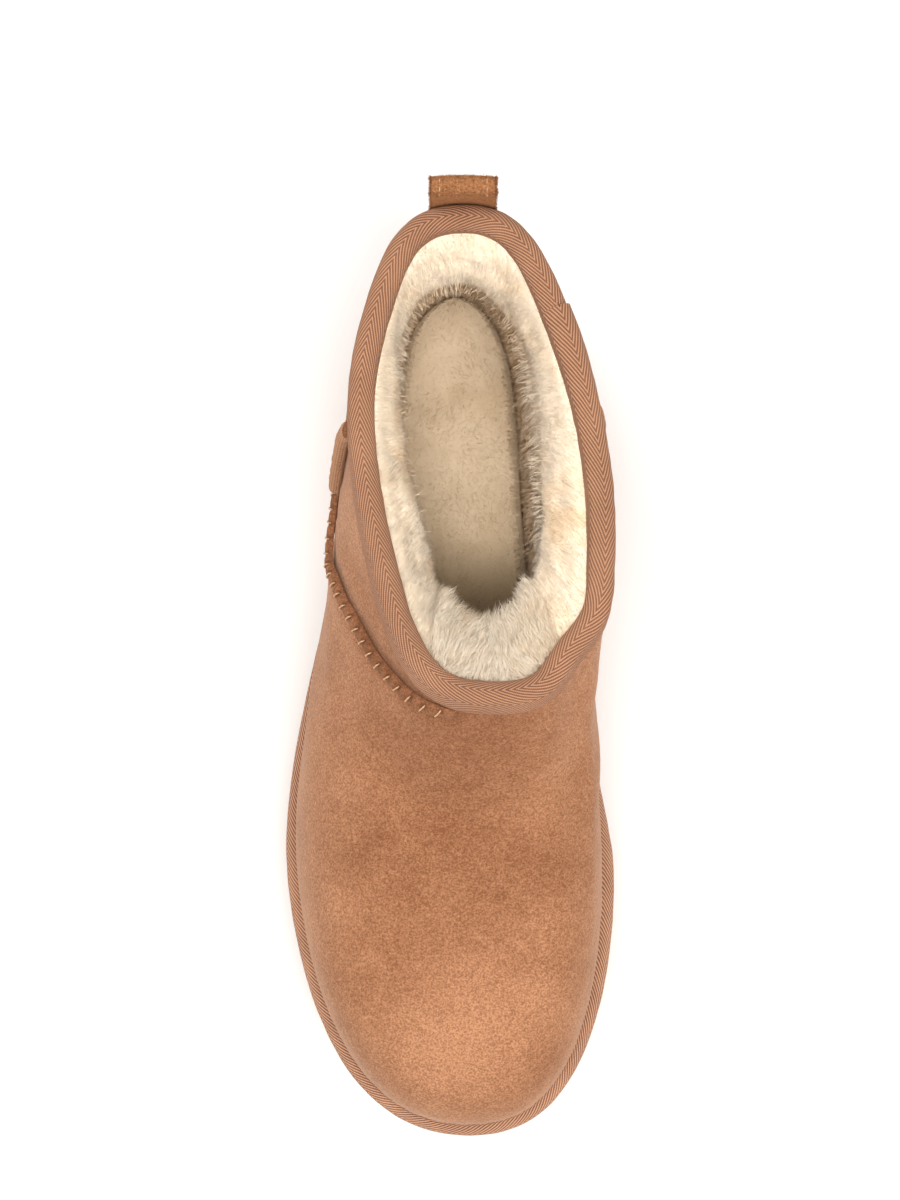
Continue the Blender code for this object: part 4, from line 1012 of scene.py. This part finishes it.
def fleeceFace(around, up):
    around, up = np.broadcast_arrays(np.asarray(around, float), np.asarray(up, float))
    plan = footLine(around, last["suede"] + last["gap"] + fleeceLook["footPile"])
    foot = withHeight(plan, midsoleTop(plan[..., 1]) + last["gap"])
    brimHeight = rimHeight(around) - bindingLook["inside"] - fleeceLook["rollDrop"]
    brim = withHeight(outlineAt(hollowLine, around), brimHeight)
    climb = climbAt(around)
    rise, drop, lean = climb[1], climb[3], climb[4]
    level = np.array([0.0, 0.0, 1.0]) * (brim - foot)[..., 2:]
    first = foot + rise[..., None] * level
    second = brim - 0.7 * drop[..., None] * level + lean[..., None] * (foot - brim) * (1.0, 1.0, 0.0)
    t = up[..., None]
    s = 1.0 - t
    return s**3 * foot + 3 * s * s * t * first + 3 * s * t * t * second + t**3 * brim


def fleeceRows(look):
    # the face towards the foot, from the tape's inner edge over the roll and down to the footbed
    places = np.arange(look["columns"]) / look["columns"]
    flat = np.ones(len(places))
    pressed = -(last["suede"] + last["gap"] + bindingLook["pile"]) * flat
    underTape = upBelowRim(places, bindingLook["inside"] * 0.55)
    start = offsetSkin(places, underTape, pressed - bindingLook["tape"] * 0.3)
    end = fleeceFace(places, flat)
    rows = []
    for turn in np.linspace(0.0, math.pi / 2, look["rollRows"]):
        rows.append(start + (end - start) * (math.sin(turn), math.sin(turn), 1.0 - math.cos(turn)))
    for up in np.linspace(1.0, 0.0, look["faceRows"])[1:]:
        rows.append(fleeceFace(places, up * flat))
    return np.array(rows)


def directionsOf(rows):
    # outward, down and round directions at each point of a stack of rows
    roundIt = unit(np.roll(rows, -1, axis=1) - np.roll(rows, 1, axis=1))
    down = unit(np.gradient(rows, axis=0), 1e-12)
    return unit(np.cross(roundIt, down)), down, roundIt


def towardsFoot(rows):
    # the same directions, with the outward one turned into the boot's hollow
    outward, down, roundIt = directionsOf(rows)
    middle = len(rows) // 2
    across = rows[middle, rows.shape[1] // 2] - rows[middle, 0]
    if (outward[middle, 0] * across).sum() < 0:
        outward = -outward
    return outward, down, roundIt


def makeFleeceFace(look):
    rows = fleeceRows(look)
    count = len(rows)
    depth = blend(np.arange(count) / 14.0) * blend((count - 1 - np.arange(count)) / 6.0)
    lumps = look["lump"] * looseNoise(rows, look["lumpSize"], 11.0)
    lumps += look["curl"] * looseNoise(rows, look["curlSize"], 12.0)
    rows = rows + towardsFoot(rows)[0] * ((lumps - look["under"]) * depth[:, None])[..., None]
    places = np.arange(look["columns"]) / look["columns"]
    flat = np.ones(len(places))
    top = upBelowRim(places, 0.0010)
    against = -(last["suede"] + last["gap"]) * flat
    wall = []
    for up in (0.0, 0.06, 0.14, 0.24, 0.35, 0.47, 0.59, 0.70, 0.79, 0.87, 0.965, 1.0):
        wall.append(offsetSkin(places, np.minimum(up * flat, top), against))
    wall[0][:, 2] = midsoleTop(wall[0][:, 1]) + last["gap"]
    wall.append(offsetSkin(places, top, against - bindingLook["pile"] * flat))
    piece = wrapRings("fleece", np.concatenate([rows, np.array(wall)]), closed=True)
    level = np.repeat(np.arange(count + len(wall)), look["columns"])
    # tip tone lowered low down and behind the heel: partly tan, partly painted shade
    paintPoints(piece, "tip", 0.60 - tanAndShadeAt(pointsOf(piece), level, None))
    finishPiece(piece, fleeceWool, "fleece", "fleece_lining")
    return (rows, *towardsFoot(rows))


def makeStrands(name, roots, side, paths, width, tones, finish, slotName, tanAndShade=0.0):
    # tapered fibres, each one through its path's points to a tip; a straight one has a root and a tip alone
    levels = [roots] + list(paths[:-1])
    tips = paths[-1]
    count, rounds = len(roots), len(levels)
    corners = 3 * rounds + 1
    points = np.zeros((count, corners, 3))
    toneAt = np.zeros((count, corners))
    for k, centre in enumerate(levels):
        along = unit((levels[k + 1] if k + 1 < rounds else tips) - centre, 1e-12)
        first = unit(np.cross(along, side), 1e-12)
        second = np.cross(along, first)
        for j in range(3):
            turn = 2.0 * math.pi * j / 3
            out = first * math.cos(turn) + second * math.sin(turn)
            points[:, 3 * k + j] = centre + out * (width * (1.0 - 0.18 * k))[:, None]
        toneAt[:, 3 * k:3 * k + 3] = tones[0] + (tones[1] - tones[0]) * k / rounds
    points[:, -1] = tips
    toneAt[:, -1] = tones[1]
    three = [(0, 2, 1)]
    for k in range(rounds - 1):
        for j in range(3):
            a, b = 3 * k + j, 3 * k + (j + 1) % 3
            three += [(a, b, b + 3), (a, b + 3, a + 3)]
    foot = 3 * (rounds - 1)
    three += [(foot + j, foot + (j + 1) % 3, foot + 3) for j in range(3)]
    faces = (np.array(three)[None] + (np.arange(count) * corners)[:, None, None]).reshape(-1, 3)
    piece = makeMesh(name, points.reshape(-1, 3), faces)
    # the tip tone lowered by tan and painted shade
    toneAt -= np.broadcast_to(tanAndShade, count)[:, None]
    paintPoints(piece, "tip", toneAt.ravel())
    finishPiece(piece, finish, slotName)


# where the tan and painted shade reach: painted shadow under the instep, tan and painted shade low on the
# fleece and behind the heel
tanAndShadeLook = {
    "instep": 0.9, "instepFrom": 0.072, "instepOver": 0.055, "heelFrom": 0.088, "heelOver": 0.022,
    "low": 0.66, "lowFrom": 42.0, "lowOver": 16.0, "heelRows": 22.0, "patchRows": 5.0, "patchSize": 0.012,
}


def tanAndShadeAt(points, row, finish):
    # the fleece is darker low down and behind the heel, partly its own tan and partly painted shade, in
    # patches; the footbed has painted shadow under the instep
    look = tanAndShadeLook
    if finish:
        return look["instep"] * blend((look["instepFrom"] - points[:, 1]) / look["instepOver"])
    behind = blend((points[:, 1] - look["heelFrom"]) / look["heelOver"])
    patchy = look["patchRows"] * looseNoise(points, look["patchSize"], 61.0)
    return look["low"] * blend((row + patchy - look["lowFrom"] + look["heelRows"] * behind) / look["lowOver"])


combing = {"sweepSize": 0.016, "cowlickSize": 0.007, "lockSize": 0.010, "sunk": 0.0005}


def combStrands(name, surface, rowsFrom, rowsTo, aroundFrom, aroundTo, look, seed, finish=None):
    # scatters roots evenly over part of a pile's face and combs fibres from them, gathered into locks
    rows, outward, down, roundIt = surface
    columns = rows.shape[1]
    count = look["strands"]
    chance = np.random.default_rng(seed)
    i = np.arange(rowsFrom, rowsTo - 1)
    j = np.arange(int(aroundFrom * columns), int(aroundTo * columns)) % columns
    cell = rows[np.ix_(i, j)]
    tall = np.linalg.norm(rows[np.ix_(i + 1, j)] - cell, axis=2)
    wide = np.linalg.norm(rows[np.ix_(i, (j + 1) % columns)] - cell, axis=2)
    share = (tall * wide).ravel()
    picked = chance.choice(len(share), count, p=share / share.sum())
    row, column = i[picked // len(j)], j[picked % len(j)]
    a, b = chance.random((2, count, 1))
    after = (column + 1) % columns

    def read(field):
        here = field[row, column] * (1 - a) + field[row, after] * a
        further = field[row + 1, column] * (1 - a) + field[row + 1, after] * a
        return here * (1 - b) + further * b

    roots, out, fall, side = read(rows), read(outward), read(down), read(roundIt)
    sweep = looseNoise(roots, combing["sweepSize"], seed + 0.5)[:, None]
    cowlick = looseNoise(roots, combing["cowlickSize"], seed + 2.5)[:, None]
    flow = fall * (look["lie"] + 0.4 * cowlick) + side * (look["sweep"] * sweep) + out * look["stand"]
    flow += chance.normal(0.0, look["wild"], (count, 3))
    flow = unit(flow)
    length = look["length"] * (0.65 + 0.7 * chance.random((count, 1))) * (1.0 + 0.3 * cowlick)
    tips = roots + flow * length
    # gather into locks
    centres = roots[:: max(1, int(count * look["clump"] ** 2 / share.sum()))]
    tree = treeOf(centres)
    mine = np.array([tree.find(root)[1] for root in roots])
    hits = np.zeros(len(centres))
    sums = np.zeros((len(centres), 3))
    np.add.at(hits, mine, 1.0)
    np.add.at(sums, mine, tips)
    middle = sums / hits[:, None]
    eager = 1.0 + 0.8 * looseNoise(centres, combing["lockSize"], seed + 4.0)
    strength = look["gather"] * eager[mine][:, None]
    tips = tips + (middle[mine] - tips) * np.clip(strength, 0.0, 0.8)
    roots = roots - out * combing["sunk"]
    width = look["width"] * (0.7 + 0.6 * chance.random(count))
    paths = [tips]
    if look["bent"]:
        halfway = roots + (tips - roots) * 0.5 + out * (length * 0.16)
        paths = [halfway + chance.normal(0.0, 0.0002, (count, 3)), tips]
    # tan and painted shade on the fleece, painted shadow under the instep on the footbed
    tanAndShade = tanAndShadeAt(roots, row, finish)
    makeStrands(name, roots, side, paths, width, (0.35, 1.0), finish or fleeceWool, "fleece", tanAndShade)


surface = makeFleeceFace(fleeceLook)
combStrands("wool_back", surface, 0, 89, 0.86, 1.14, fleeceLook, 21)
combStrands("wool_outer", surface, 0, 89, 0.14, 0.36, fleeceLook, 22)
combStrands("wool_front", surface, 0, 48, 0.36, 0.63, fleeceLook, 23)
combStrands("wool_inner", surface, 0, 89, 0.63, 0.86, fleeceLook, 24)
frontLocks = {"strands": 8000, "width": 0.000065, "length": 0.0070, "lie": 0.70, "sweep": 1.3,
              "stand": 0.50, "wild": 0.26, "clump": 0.0036, "gather": 0.35, "bent": True}
combStrands("wool_front_locks", surface, 0, 34, 0.43, 0.59, frontLocks, 26)
lowLocks = {"strands": 8000, "width": 0.000080, "length": 0.0058, "lie": 0.70, "sweep": 1.0,
            "stand": 0.42, "wild": 0.22, "clump": 0.0034, "gather": 0.45, "bent": True}
combStrands("wool_low_locks", surface, 26, 86, 0.64, 1.36, lowLocks, 29)
rimWool = {"strands": 12000, "width": 0.000062, "length": 0.0026, "lie": 0.45, "sweep": 0.8,
           "stand": 0.75, "wild": 0.30, "clump": 0.0020, "gather": 0.30, "bent": False}
combStrands("wool_rim", surface, 0, 24, 0.0, 1.0, rimWool, 27)
print("fleece made")


# Footbed: a foam pad with short pressed fleece
footbedLook = {
    "columns": 260, "rows": 26, "thick": 0.0085, "round": 0.0016, "clear": 0.0003, "pile": 0.0095,
    "lump": 0.0005,
    # the pressed wool
    "strands": 18000, "width": 0.000068, "length": 0.0022, "lie": 0.25, "sweep": 1.0,
    "stand": 0.45, "wild": 0.25, "clump": 0.0020, "gather": 0.2, "bent": False,
}


def makeFootbed(look):
    places = np.arange(look["columns"]) / look["columns"]
    inset = last["suede"] + look["pile"] + 3.0 * last["gap"]
    mirrored = np.minimum(places, 1.0 - places)
    spine = (footLine(mirrored, inset) + footLine(1.0 - mirrored, inset)) / 2
    foot = footLine(places, inset)
    thick, roundness = look["thick"], look["round"]

    def ringAt(plan, height):
        return withHeight(plan, midsoleTop(plan[:, 1]) + last["gap"] + height)

    rings = [ringAt(spine + (foot - spine) * share, 0.0) for share in np.linspace(0.0, 1.0, 7)]
    # the top's edge lies against the fleece's face
    wall = np.array([fleeceFace(places, up * np.ones(len(places))) for up in np.linspace(0.0, 0.45, 60)])
    target = midsoleTop(wall[0, :, 1]) + last["gap"] + thick - roundness
    met = np.array([readLine(target[k], wall[:, k, 2], wall[:, k, :2]) for k in range(len(places))])
    inward = unit(spine - met)
    for share, drop in ((0.0, 1.0), (0.5, 0.3), (1.2, 0.0)):
        rings.append(ringAt(met + inward * (share * roundness + look["clear"]), thick - drop * roundness))
    edge = rings[-1][:, :2]
    for share in np.linspace(0.0, 1.0, look["rows"])[1:]:
        plan = edge + (spine - edge) * share
        ring = ringAt(plan, thick)
        ring[:, 2] += look["lump"] * looseNoise(withHeight(plan, np.zeros(len(plan))), 0.007, 31.0)
        rings.append(ring)
    piece = wrapRings("footbed", np.array(rings))
    # painted shadow under the instep, in the tip attribute
    paintPoints(piece, "tip", 0.60 - tanAndShadeAt(pointsOf(piece), 0, footbedWool))
    finishPiece(piece, footbedWool, "fleece", "insole", angle=60)
    top = np.array(rings[9:])
    outward, down, roundIt = directionsOf(top)
    outward[:] = (0.0, 0.0, 1.0)
    return top, outward, down, roundIt


footbed = makeFootbed(footbedLook)
combStrands("footbed_wool", footbed, 0, len(footbed[0]) - 1, 0.70, 1.30, footbedLook, 25, footbedWool)
footbedEdge = {"strands": 6000, "width": 0.00006, "length": 0.0040, "lie": -0.9, "sweep": 0.6,
               "stand": 0.50, "wild": 0.30, "clump": 0.0020, "gather": 0.30, "bent": False}
combStrands("footbed_edge_wool", footbed, 0, 4, 0.70, 1.30, footbedEdge, 28, footbedWool)
print("footbed made")


# Outsole: moulded foam with a groove round its side and wavy grooves underneath
outsoleLook = {"columns": 300, "inset": 0.0006, "round": 0.0032, "grooveDepth": 0.0012, "grooveWidth": 0.0030,
               "grooveAt": 0.45, "lip": 0.0004, "treads": ((0.055, 0.310), (0.555, 0.945)),
               "treadWidth": 0.0042, "treadDepth": 0.0032, "pitch": 0.0125, "wave": 0.0022, "margin": 0.0085}


def soleRing(columns, inset, height):
    plan = insetSole(np.arange(columns) / columns, np.full(columns, inset))
    return withHeight(plan, height(plan[:, 1]))


def closeSlab(rings):
    # adds rings that shrink onto the middle line, so that a sole layer is closed below and above
    count = rings.shape[1]
    mirrored = (count - np.arange(count)) % count

    def shrunk(ring, share):
        spine = (ring + ring[mirrored]) / 2
        return spine + (ring - spine) * share

    under = [shrunk(rings[0], share) for share in (0.0, 0.35, 0.7)]
    over = [shrunk(rings[-1], share) for share in (0.7, 0.35, 0.0)]
    return np.array(under + list(rings) + over)


def makeOutsole(look):
    half = look["grooveWidth"] / 2
    inset, roundness = look["inset"], look["round"]

    def level(share, extra=0.0):
        return lambda y: soleUnderside(y) + share * (outsoleTop(y) - soleUnderside(y)) + extra

    profile = []
    for turn in np.linspace(0.0, math.pi / 2, 6):
        lift = roundness * (1.0 - math.cos(turn))
        profile.append((inset + roundness * (1.0 - math.sin(turn)), level(0.0, lift)))
    profile.append((inset, level(look["grooveAt"], -half * 1.4)))
    for turn in np.linspace(0.0, math.pi, 7):
        rise = level(look["grooveAt"], -half * math.cos(turn))
        profile.append((inset + look["grooveDepth"] * math.sin(turn), rise))
    profile += [(inset, level(look["grooveAt"], half * 1.4)), (inset, level(0.97))]
    profile.append((inset + look["lip"], level(1.0)))
    rings = closeSlab(np.array([soleRing(look["columns"], out, height) for out, height in profile]))
    outsole = wrapRings("outsole_foam", rings)
    cutters = []
    for start, end in look["treads"]:
        count = int((end - start) * last["length"] / look["pitch"])
        for k in range(count):
            y = heelY - (start + (end - start) * (k + 0.5) / count) * last["length"]
            cutters.append(makeGroove(y, look))
    cutter = joinPieces(cutters, "tread_cutter")
    cut = outsole.modifiers.new("tread", "BOOLEAN")
    cut.operation = "DIFFERENCE"
    cut.object = cutter
    bpy.context.view_layer.objects.active = outsole
    bpy.ops.object.modifier_apply(modifier="tread")
    bpy.data.objects.remove(cutter)
    finishPiece(outsole, outsoleFoam, "outsole_foam", "outsole", angle=40)


def makeGroove(y, look):
    # one wavy bar, narrower at its inner end, that cuts a groove
    half = np.linspace(0.0, 0.5, 361)
    sides = []
    for places in (half, 1.0 - half):
        plan = insetSole(places, np.full(len(places), look["margin"]))
        sides.append(float(np.interp(-y, -plan[:, 1], plan[:, 0])))
    rings = []
    for x in np.linspace(sides[0], sides[1], 42):
        middle = y + look["wave"] * math.sin(6.0 * math.pi * x / last["ballWidth"])
        ring = []
        for out, rise in ((-0.5, -1.0), (-0.5, 0.1), (-0.36, 1.0), (0.36, 1.0), (0.5, 0.1), (0.5, -1.0)):
            edge = middle + out * look["treadWidth"]
            ring.append((x, edge, float(soleUnderside(edge)) + rise * look["treadDepth"]))
        rings.append(ring)
    bar = wrapRings("groove", rings)
    closeEnds(bar)
    return bar


midsoleLook = {"columns": 300, "arcRows": 5}


def makeMidsole(look):
    columns = look["columns"]
    seat = last["tape"] + last["gap"]
    roundness = last["tapeRound"] - seat
    rings = [soleRing(columns, seat, lambda y: outsoleTop(y) + last["gap"])]
    for turn in np.linspace(0.0, math.pi / 2, look["arcRows"]):
        inset = last["tapeRound"] - roundness * math.cos(turn)
        drop = roundness * math.sin(turn) - last["tapeRound"]
        rings.append(soleRing(columns, inset, lambda y: midsoleTop(y) + seat + drop))
    piece = wrapRings("midsole_core", closeSlab(np.array(rings)))
    finishPiece(piece, midsoleFoam, "midsole_foam", "midsole", angle=50)


makeOutsole(outsoleLook)
makeMidsole(midsoleLook)


# Pull loop: a suede strip folded over, sewn flat behind the heel
loopLook = {
    "width": 0.0190, "layer": 0.0018, "rise": 0.0152, "drop": 0.0260, "open": 0.0022, "straight": 0.70,
    "columns": 22, "smooth": 7, "foldSteps": 5, "ragged": 0.0003, "fuzz": 6000, "fuzzWidth": 0.00005,
    "stitchIn": 0.0026, "stitch": 0.0026, "stitchShare": 0.55, "endClear": 0.0012, "thread": 0.00017,
}
heelLines = {}


def heelWall(x, height):
    # y and z of the shaft's face behind the heel, at an x and a height over the rim
    drop = round(max(-height, 0.0), 6)
    if drop not in heelLines:
        places = np.linspace(-0.10, 0.10, 121)
        line = offsetSkin(places, upBelowRim(places, drop), np.zeros(121))
        heelLines[drop] = line[np.argsort(line[:, 0])]
    line = heelLines[drop]
    y, z = readLine(x, line[:, 0], line[:, 1:])
    return float(y), float(z) + max(height, 0.0)


def smoothLine(points, steps):
    # a rounded closed line through points that keeps their number of stretches
    points = np.asarray(points)
    count = len(points)
    out = []
    for i in range(count):
        p0, p1, p2, p3 = (points[(i + k) % count] for k in (-1, 0, 1, 2))
        for t in np.arange(steps) / steps:
            bent = 2 * p1 + (p2 - p0) * t + (2 * p0 - 5 * p1 + 4 * p2 - p3) * t * t
            out.append(0.5 * (bent + (3 * p1 - p0 - 3 * p2 + p3) * t**3))
    return np.array(out)


def loopOutline(x, look):
    # the strip's outer outline and its hole's, at one x
    middleX = float(outlineAt(collarLine, 0.0)[0])
    side = heelWall(x + 0.001, 0.0)[0] - heelWall(x - 0.001, 0.0)[0]
    tilt = 0.002 / math.hypot(side, 0.002)
    layer, opened = look["layer"], look["open"]
    overTape = (bindingLook["tape"] + 2.2 * last["gap"]) / tilt
    onSuede = 1.5 * last["gap"] / tilt
    wide = 2.0 * layer + opened
    top = look["rise"] - wide / 2
    below = -bindingLook["outside"]
    bend = 1.6 * layer
    sewn = onSuede + 2.0 * layer
    near = [(-look["drop"], onSuede), (below - bend, onSuede), (below - 0.3 * layer, overTape)]
    near += [(0.35 * below, overTape), (top, overTape)]
    far = [(-look["drop"], sewn), (below - bend, sewn), (0.92 * below, overTape + wide * 0.80)]
    far += [(0.35 * below, overTape + wide), (top, overTape + wide)]
    inside = overTape + layer
    heights = (0.78 * below, 0.55 * below, 0.32 * below, 0.10 * below, top)
    outs = (0.2 * layer, 0.5 * layer, 0.9 * opened, opened, opened)
    holeNear = [(height, inside) for height in heights]
    holeFar = [(height, inside + out) for height, out in zip(heights, outs)]
    middle = overTape + wide / 2

    def fold(radius):
        turns = [math.pi * k / look["foldSteps"] for k in range(1, look["foldSteps"])]
        return [(top + radius * math.sin(turn), middle - radius * math.cos(turn)) for turn in turns]

    def spots(pairs):
        placed = []
        for height, out in pairs:
            wallY, wallZ = heelWall(x, height)
            risen = float(blend((height - below) / (look["rise"] - below)))
            behind = look["straight"] * (heelWall(middleX, height)[0] - wallY)
            placed.append((x, wallY + out + risen * behind, wallZ))
        return smoothLine(placed, look["smooth"])

    return spots(near + fold(wide / 2) + far[::-1]), spots(holeNear + fold(opened / 2) + holeFar[::-1])


def makePullLoop(look):
    centreX = float(outlineAt(collarLine, 0.0)[0])
    outers, inners = [], []
    for share in np.linspace(-0.5, 0.5, look["columns"]):
        outer, inner = loopOutline(centreX + share * look["width"], look)
        edge = 1.0 - blend((0.5 - abs(share)) / 0.05)
        outer = outer + (inner - outer) * 0.18 * edge
        outer[:, 0] += np.sign(share) * look["ragged"] * looseNoise(outer, 0.0016, 41.0) * edge
        outers.append(outer)
        inners.append(inner)
    piece = wrapRings("loop_suede", np.array(outers + inners[::-1]), closed=True)
    paintPoints(piece, "shade", [0.10 * noise.noise(vertex.co / 0.006) for vertex in piece.data.vertices])
    finishPiece(piece, loopSuede, "suede", "pull_loop", angle=60)
    # two rows of stitches, on the strip's outer face
    outers = np.array(outers)
    inside = outers.reshape(-1, 3).mean(axis=0)
    turns = np.linspace(0.0, 1.0, 7)
    lines, lifts = [], []
    for side in (-1, 1):
        place = (0.5 + side * (0.5 - look["stitchIn"] / look["width"])) * (look["columns"] - 1)
        k = int(place)
        row = outers[k] * (1 - (place - k)) + outers[k + 1] * (place - k)
        run = runOf(row)
        facing = unit(np.cross(np.gradient(row, axis=0), (1.0, 0.0, 0.0)))
        first, final = run[4 * look["smooth"]], run[-1] - look["endClear"] - look["stitch"]
        for start in np.arange(first, final, look["stitch"]):
            at = start + turns * look["stitch"] * look["stitchShare"]
            centre = readLine(at, run, row)
            out = readLine(at, run, facing)
            out *= np.sign((out * (centre - inside)).sum())
            lines.append(centre + out * (0.00016 * np.sin(math.pi * turns) - 0.00004)[:, None])
            lifts.append(out)
    threads = makeTubes("loop_stitches", lines, look["thread"], np.array(lifts))
    finishPiece(threads, seamThread, "seam_thread")
    return outers


def makeFuzz(outers, look):
    # loose suede fibres along the strip's cut edges and over its fold
    chance = np.random.default_rng(51)
    count = look["fuzz"]
    columns, steps = outers.shape[:2]
    onEdge = chance.random(count) < 0.6
    edgeColumn = np.where(chance.random(count) < 0.5, 0, columns - 1)
    column = np.where(onEdge, edgeColumn, chance.integers(0, columns, count))
    low, high = 4 * look["smooth"], 11 * look["smooth"]
    step = chance.integers(0, steps, count)
    step = np.where(onEdge, step, chance.integers(low, high, count))
    roots = outers[column, step] + chance.normal(0.0, 0.0002, (count, 3))
    middle = outers[columns // 2]
    out = unit(np.cross(middle[(step + 1) % steps] - middle[step - 1], (1.0, 0.0, 0.0)))
    out *= np.sign((out * (middle[step] - outers.reshape(-1, 3).mean(axis=0))).sum(axis=1))[:, None]
    sideways = np.zeros((count, 3))
    sideways[:, 0] = np.where(onEdge, np.sign(column - 1.0), 0.0)
    flow = unit(out * 0.6 + sideways * 0.8 + chance.normal(0.0, 0.5, (count, 3)))
    tips = roots + flow * (0.0004 + 0.0005 * chance.random((count, 1)))
    side = np.cross(tips - roots, (0.31, 0.52, 0.79))
    width = np.full(count, look["fuzzWidth"])
    makeStrands("loop_fuzz", roots, side, [tips], width, (0.5, 1.0), loopSuede, "suede")


makeFuzz(makePullLoop(loopLook), loopLook)
print("soles and loop made")


# Floor
bpy.ops.object.select_all(action="DESELECT")
bpy.ops.mesh.primitive_plane_add(size=6.0, location=(0.0, 0.0, 0.0))
floor = bpy.context.object
floor.name = "floor"
floorPaint, floorTree, floorShader, floorCoords = startMaterial("floorPaint", 0.8)
floorTone = noiseOf(floorTree, floorCoords, 3.0, 2.0)
floorColour = mixColour(floorTree, floorTone, room["floor"], tuple(c * 0.985 for c in room["floor"]))
floorTree.links.new(floorColour, floorShader.inputs["Base Color"])
floor.data.materials.append(floorPaint)
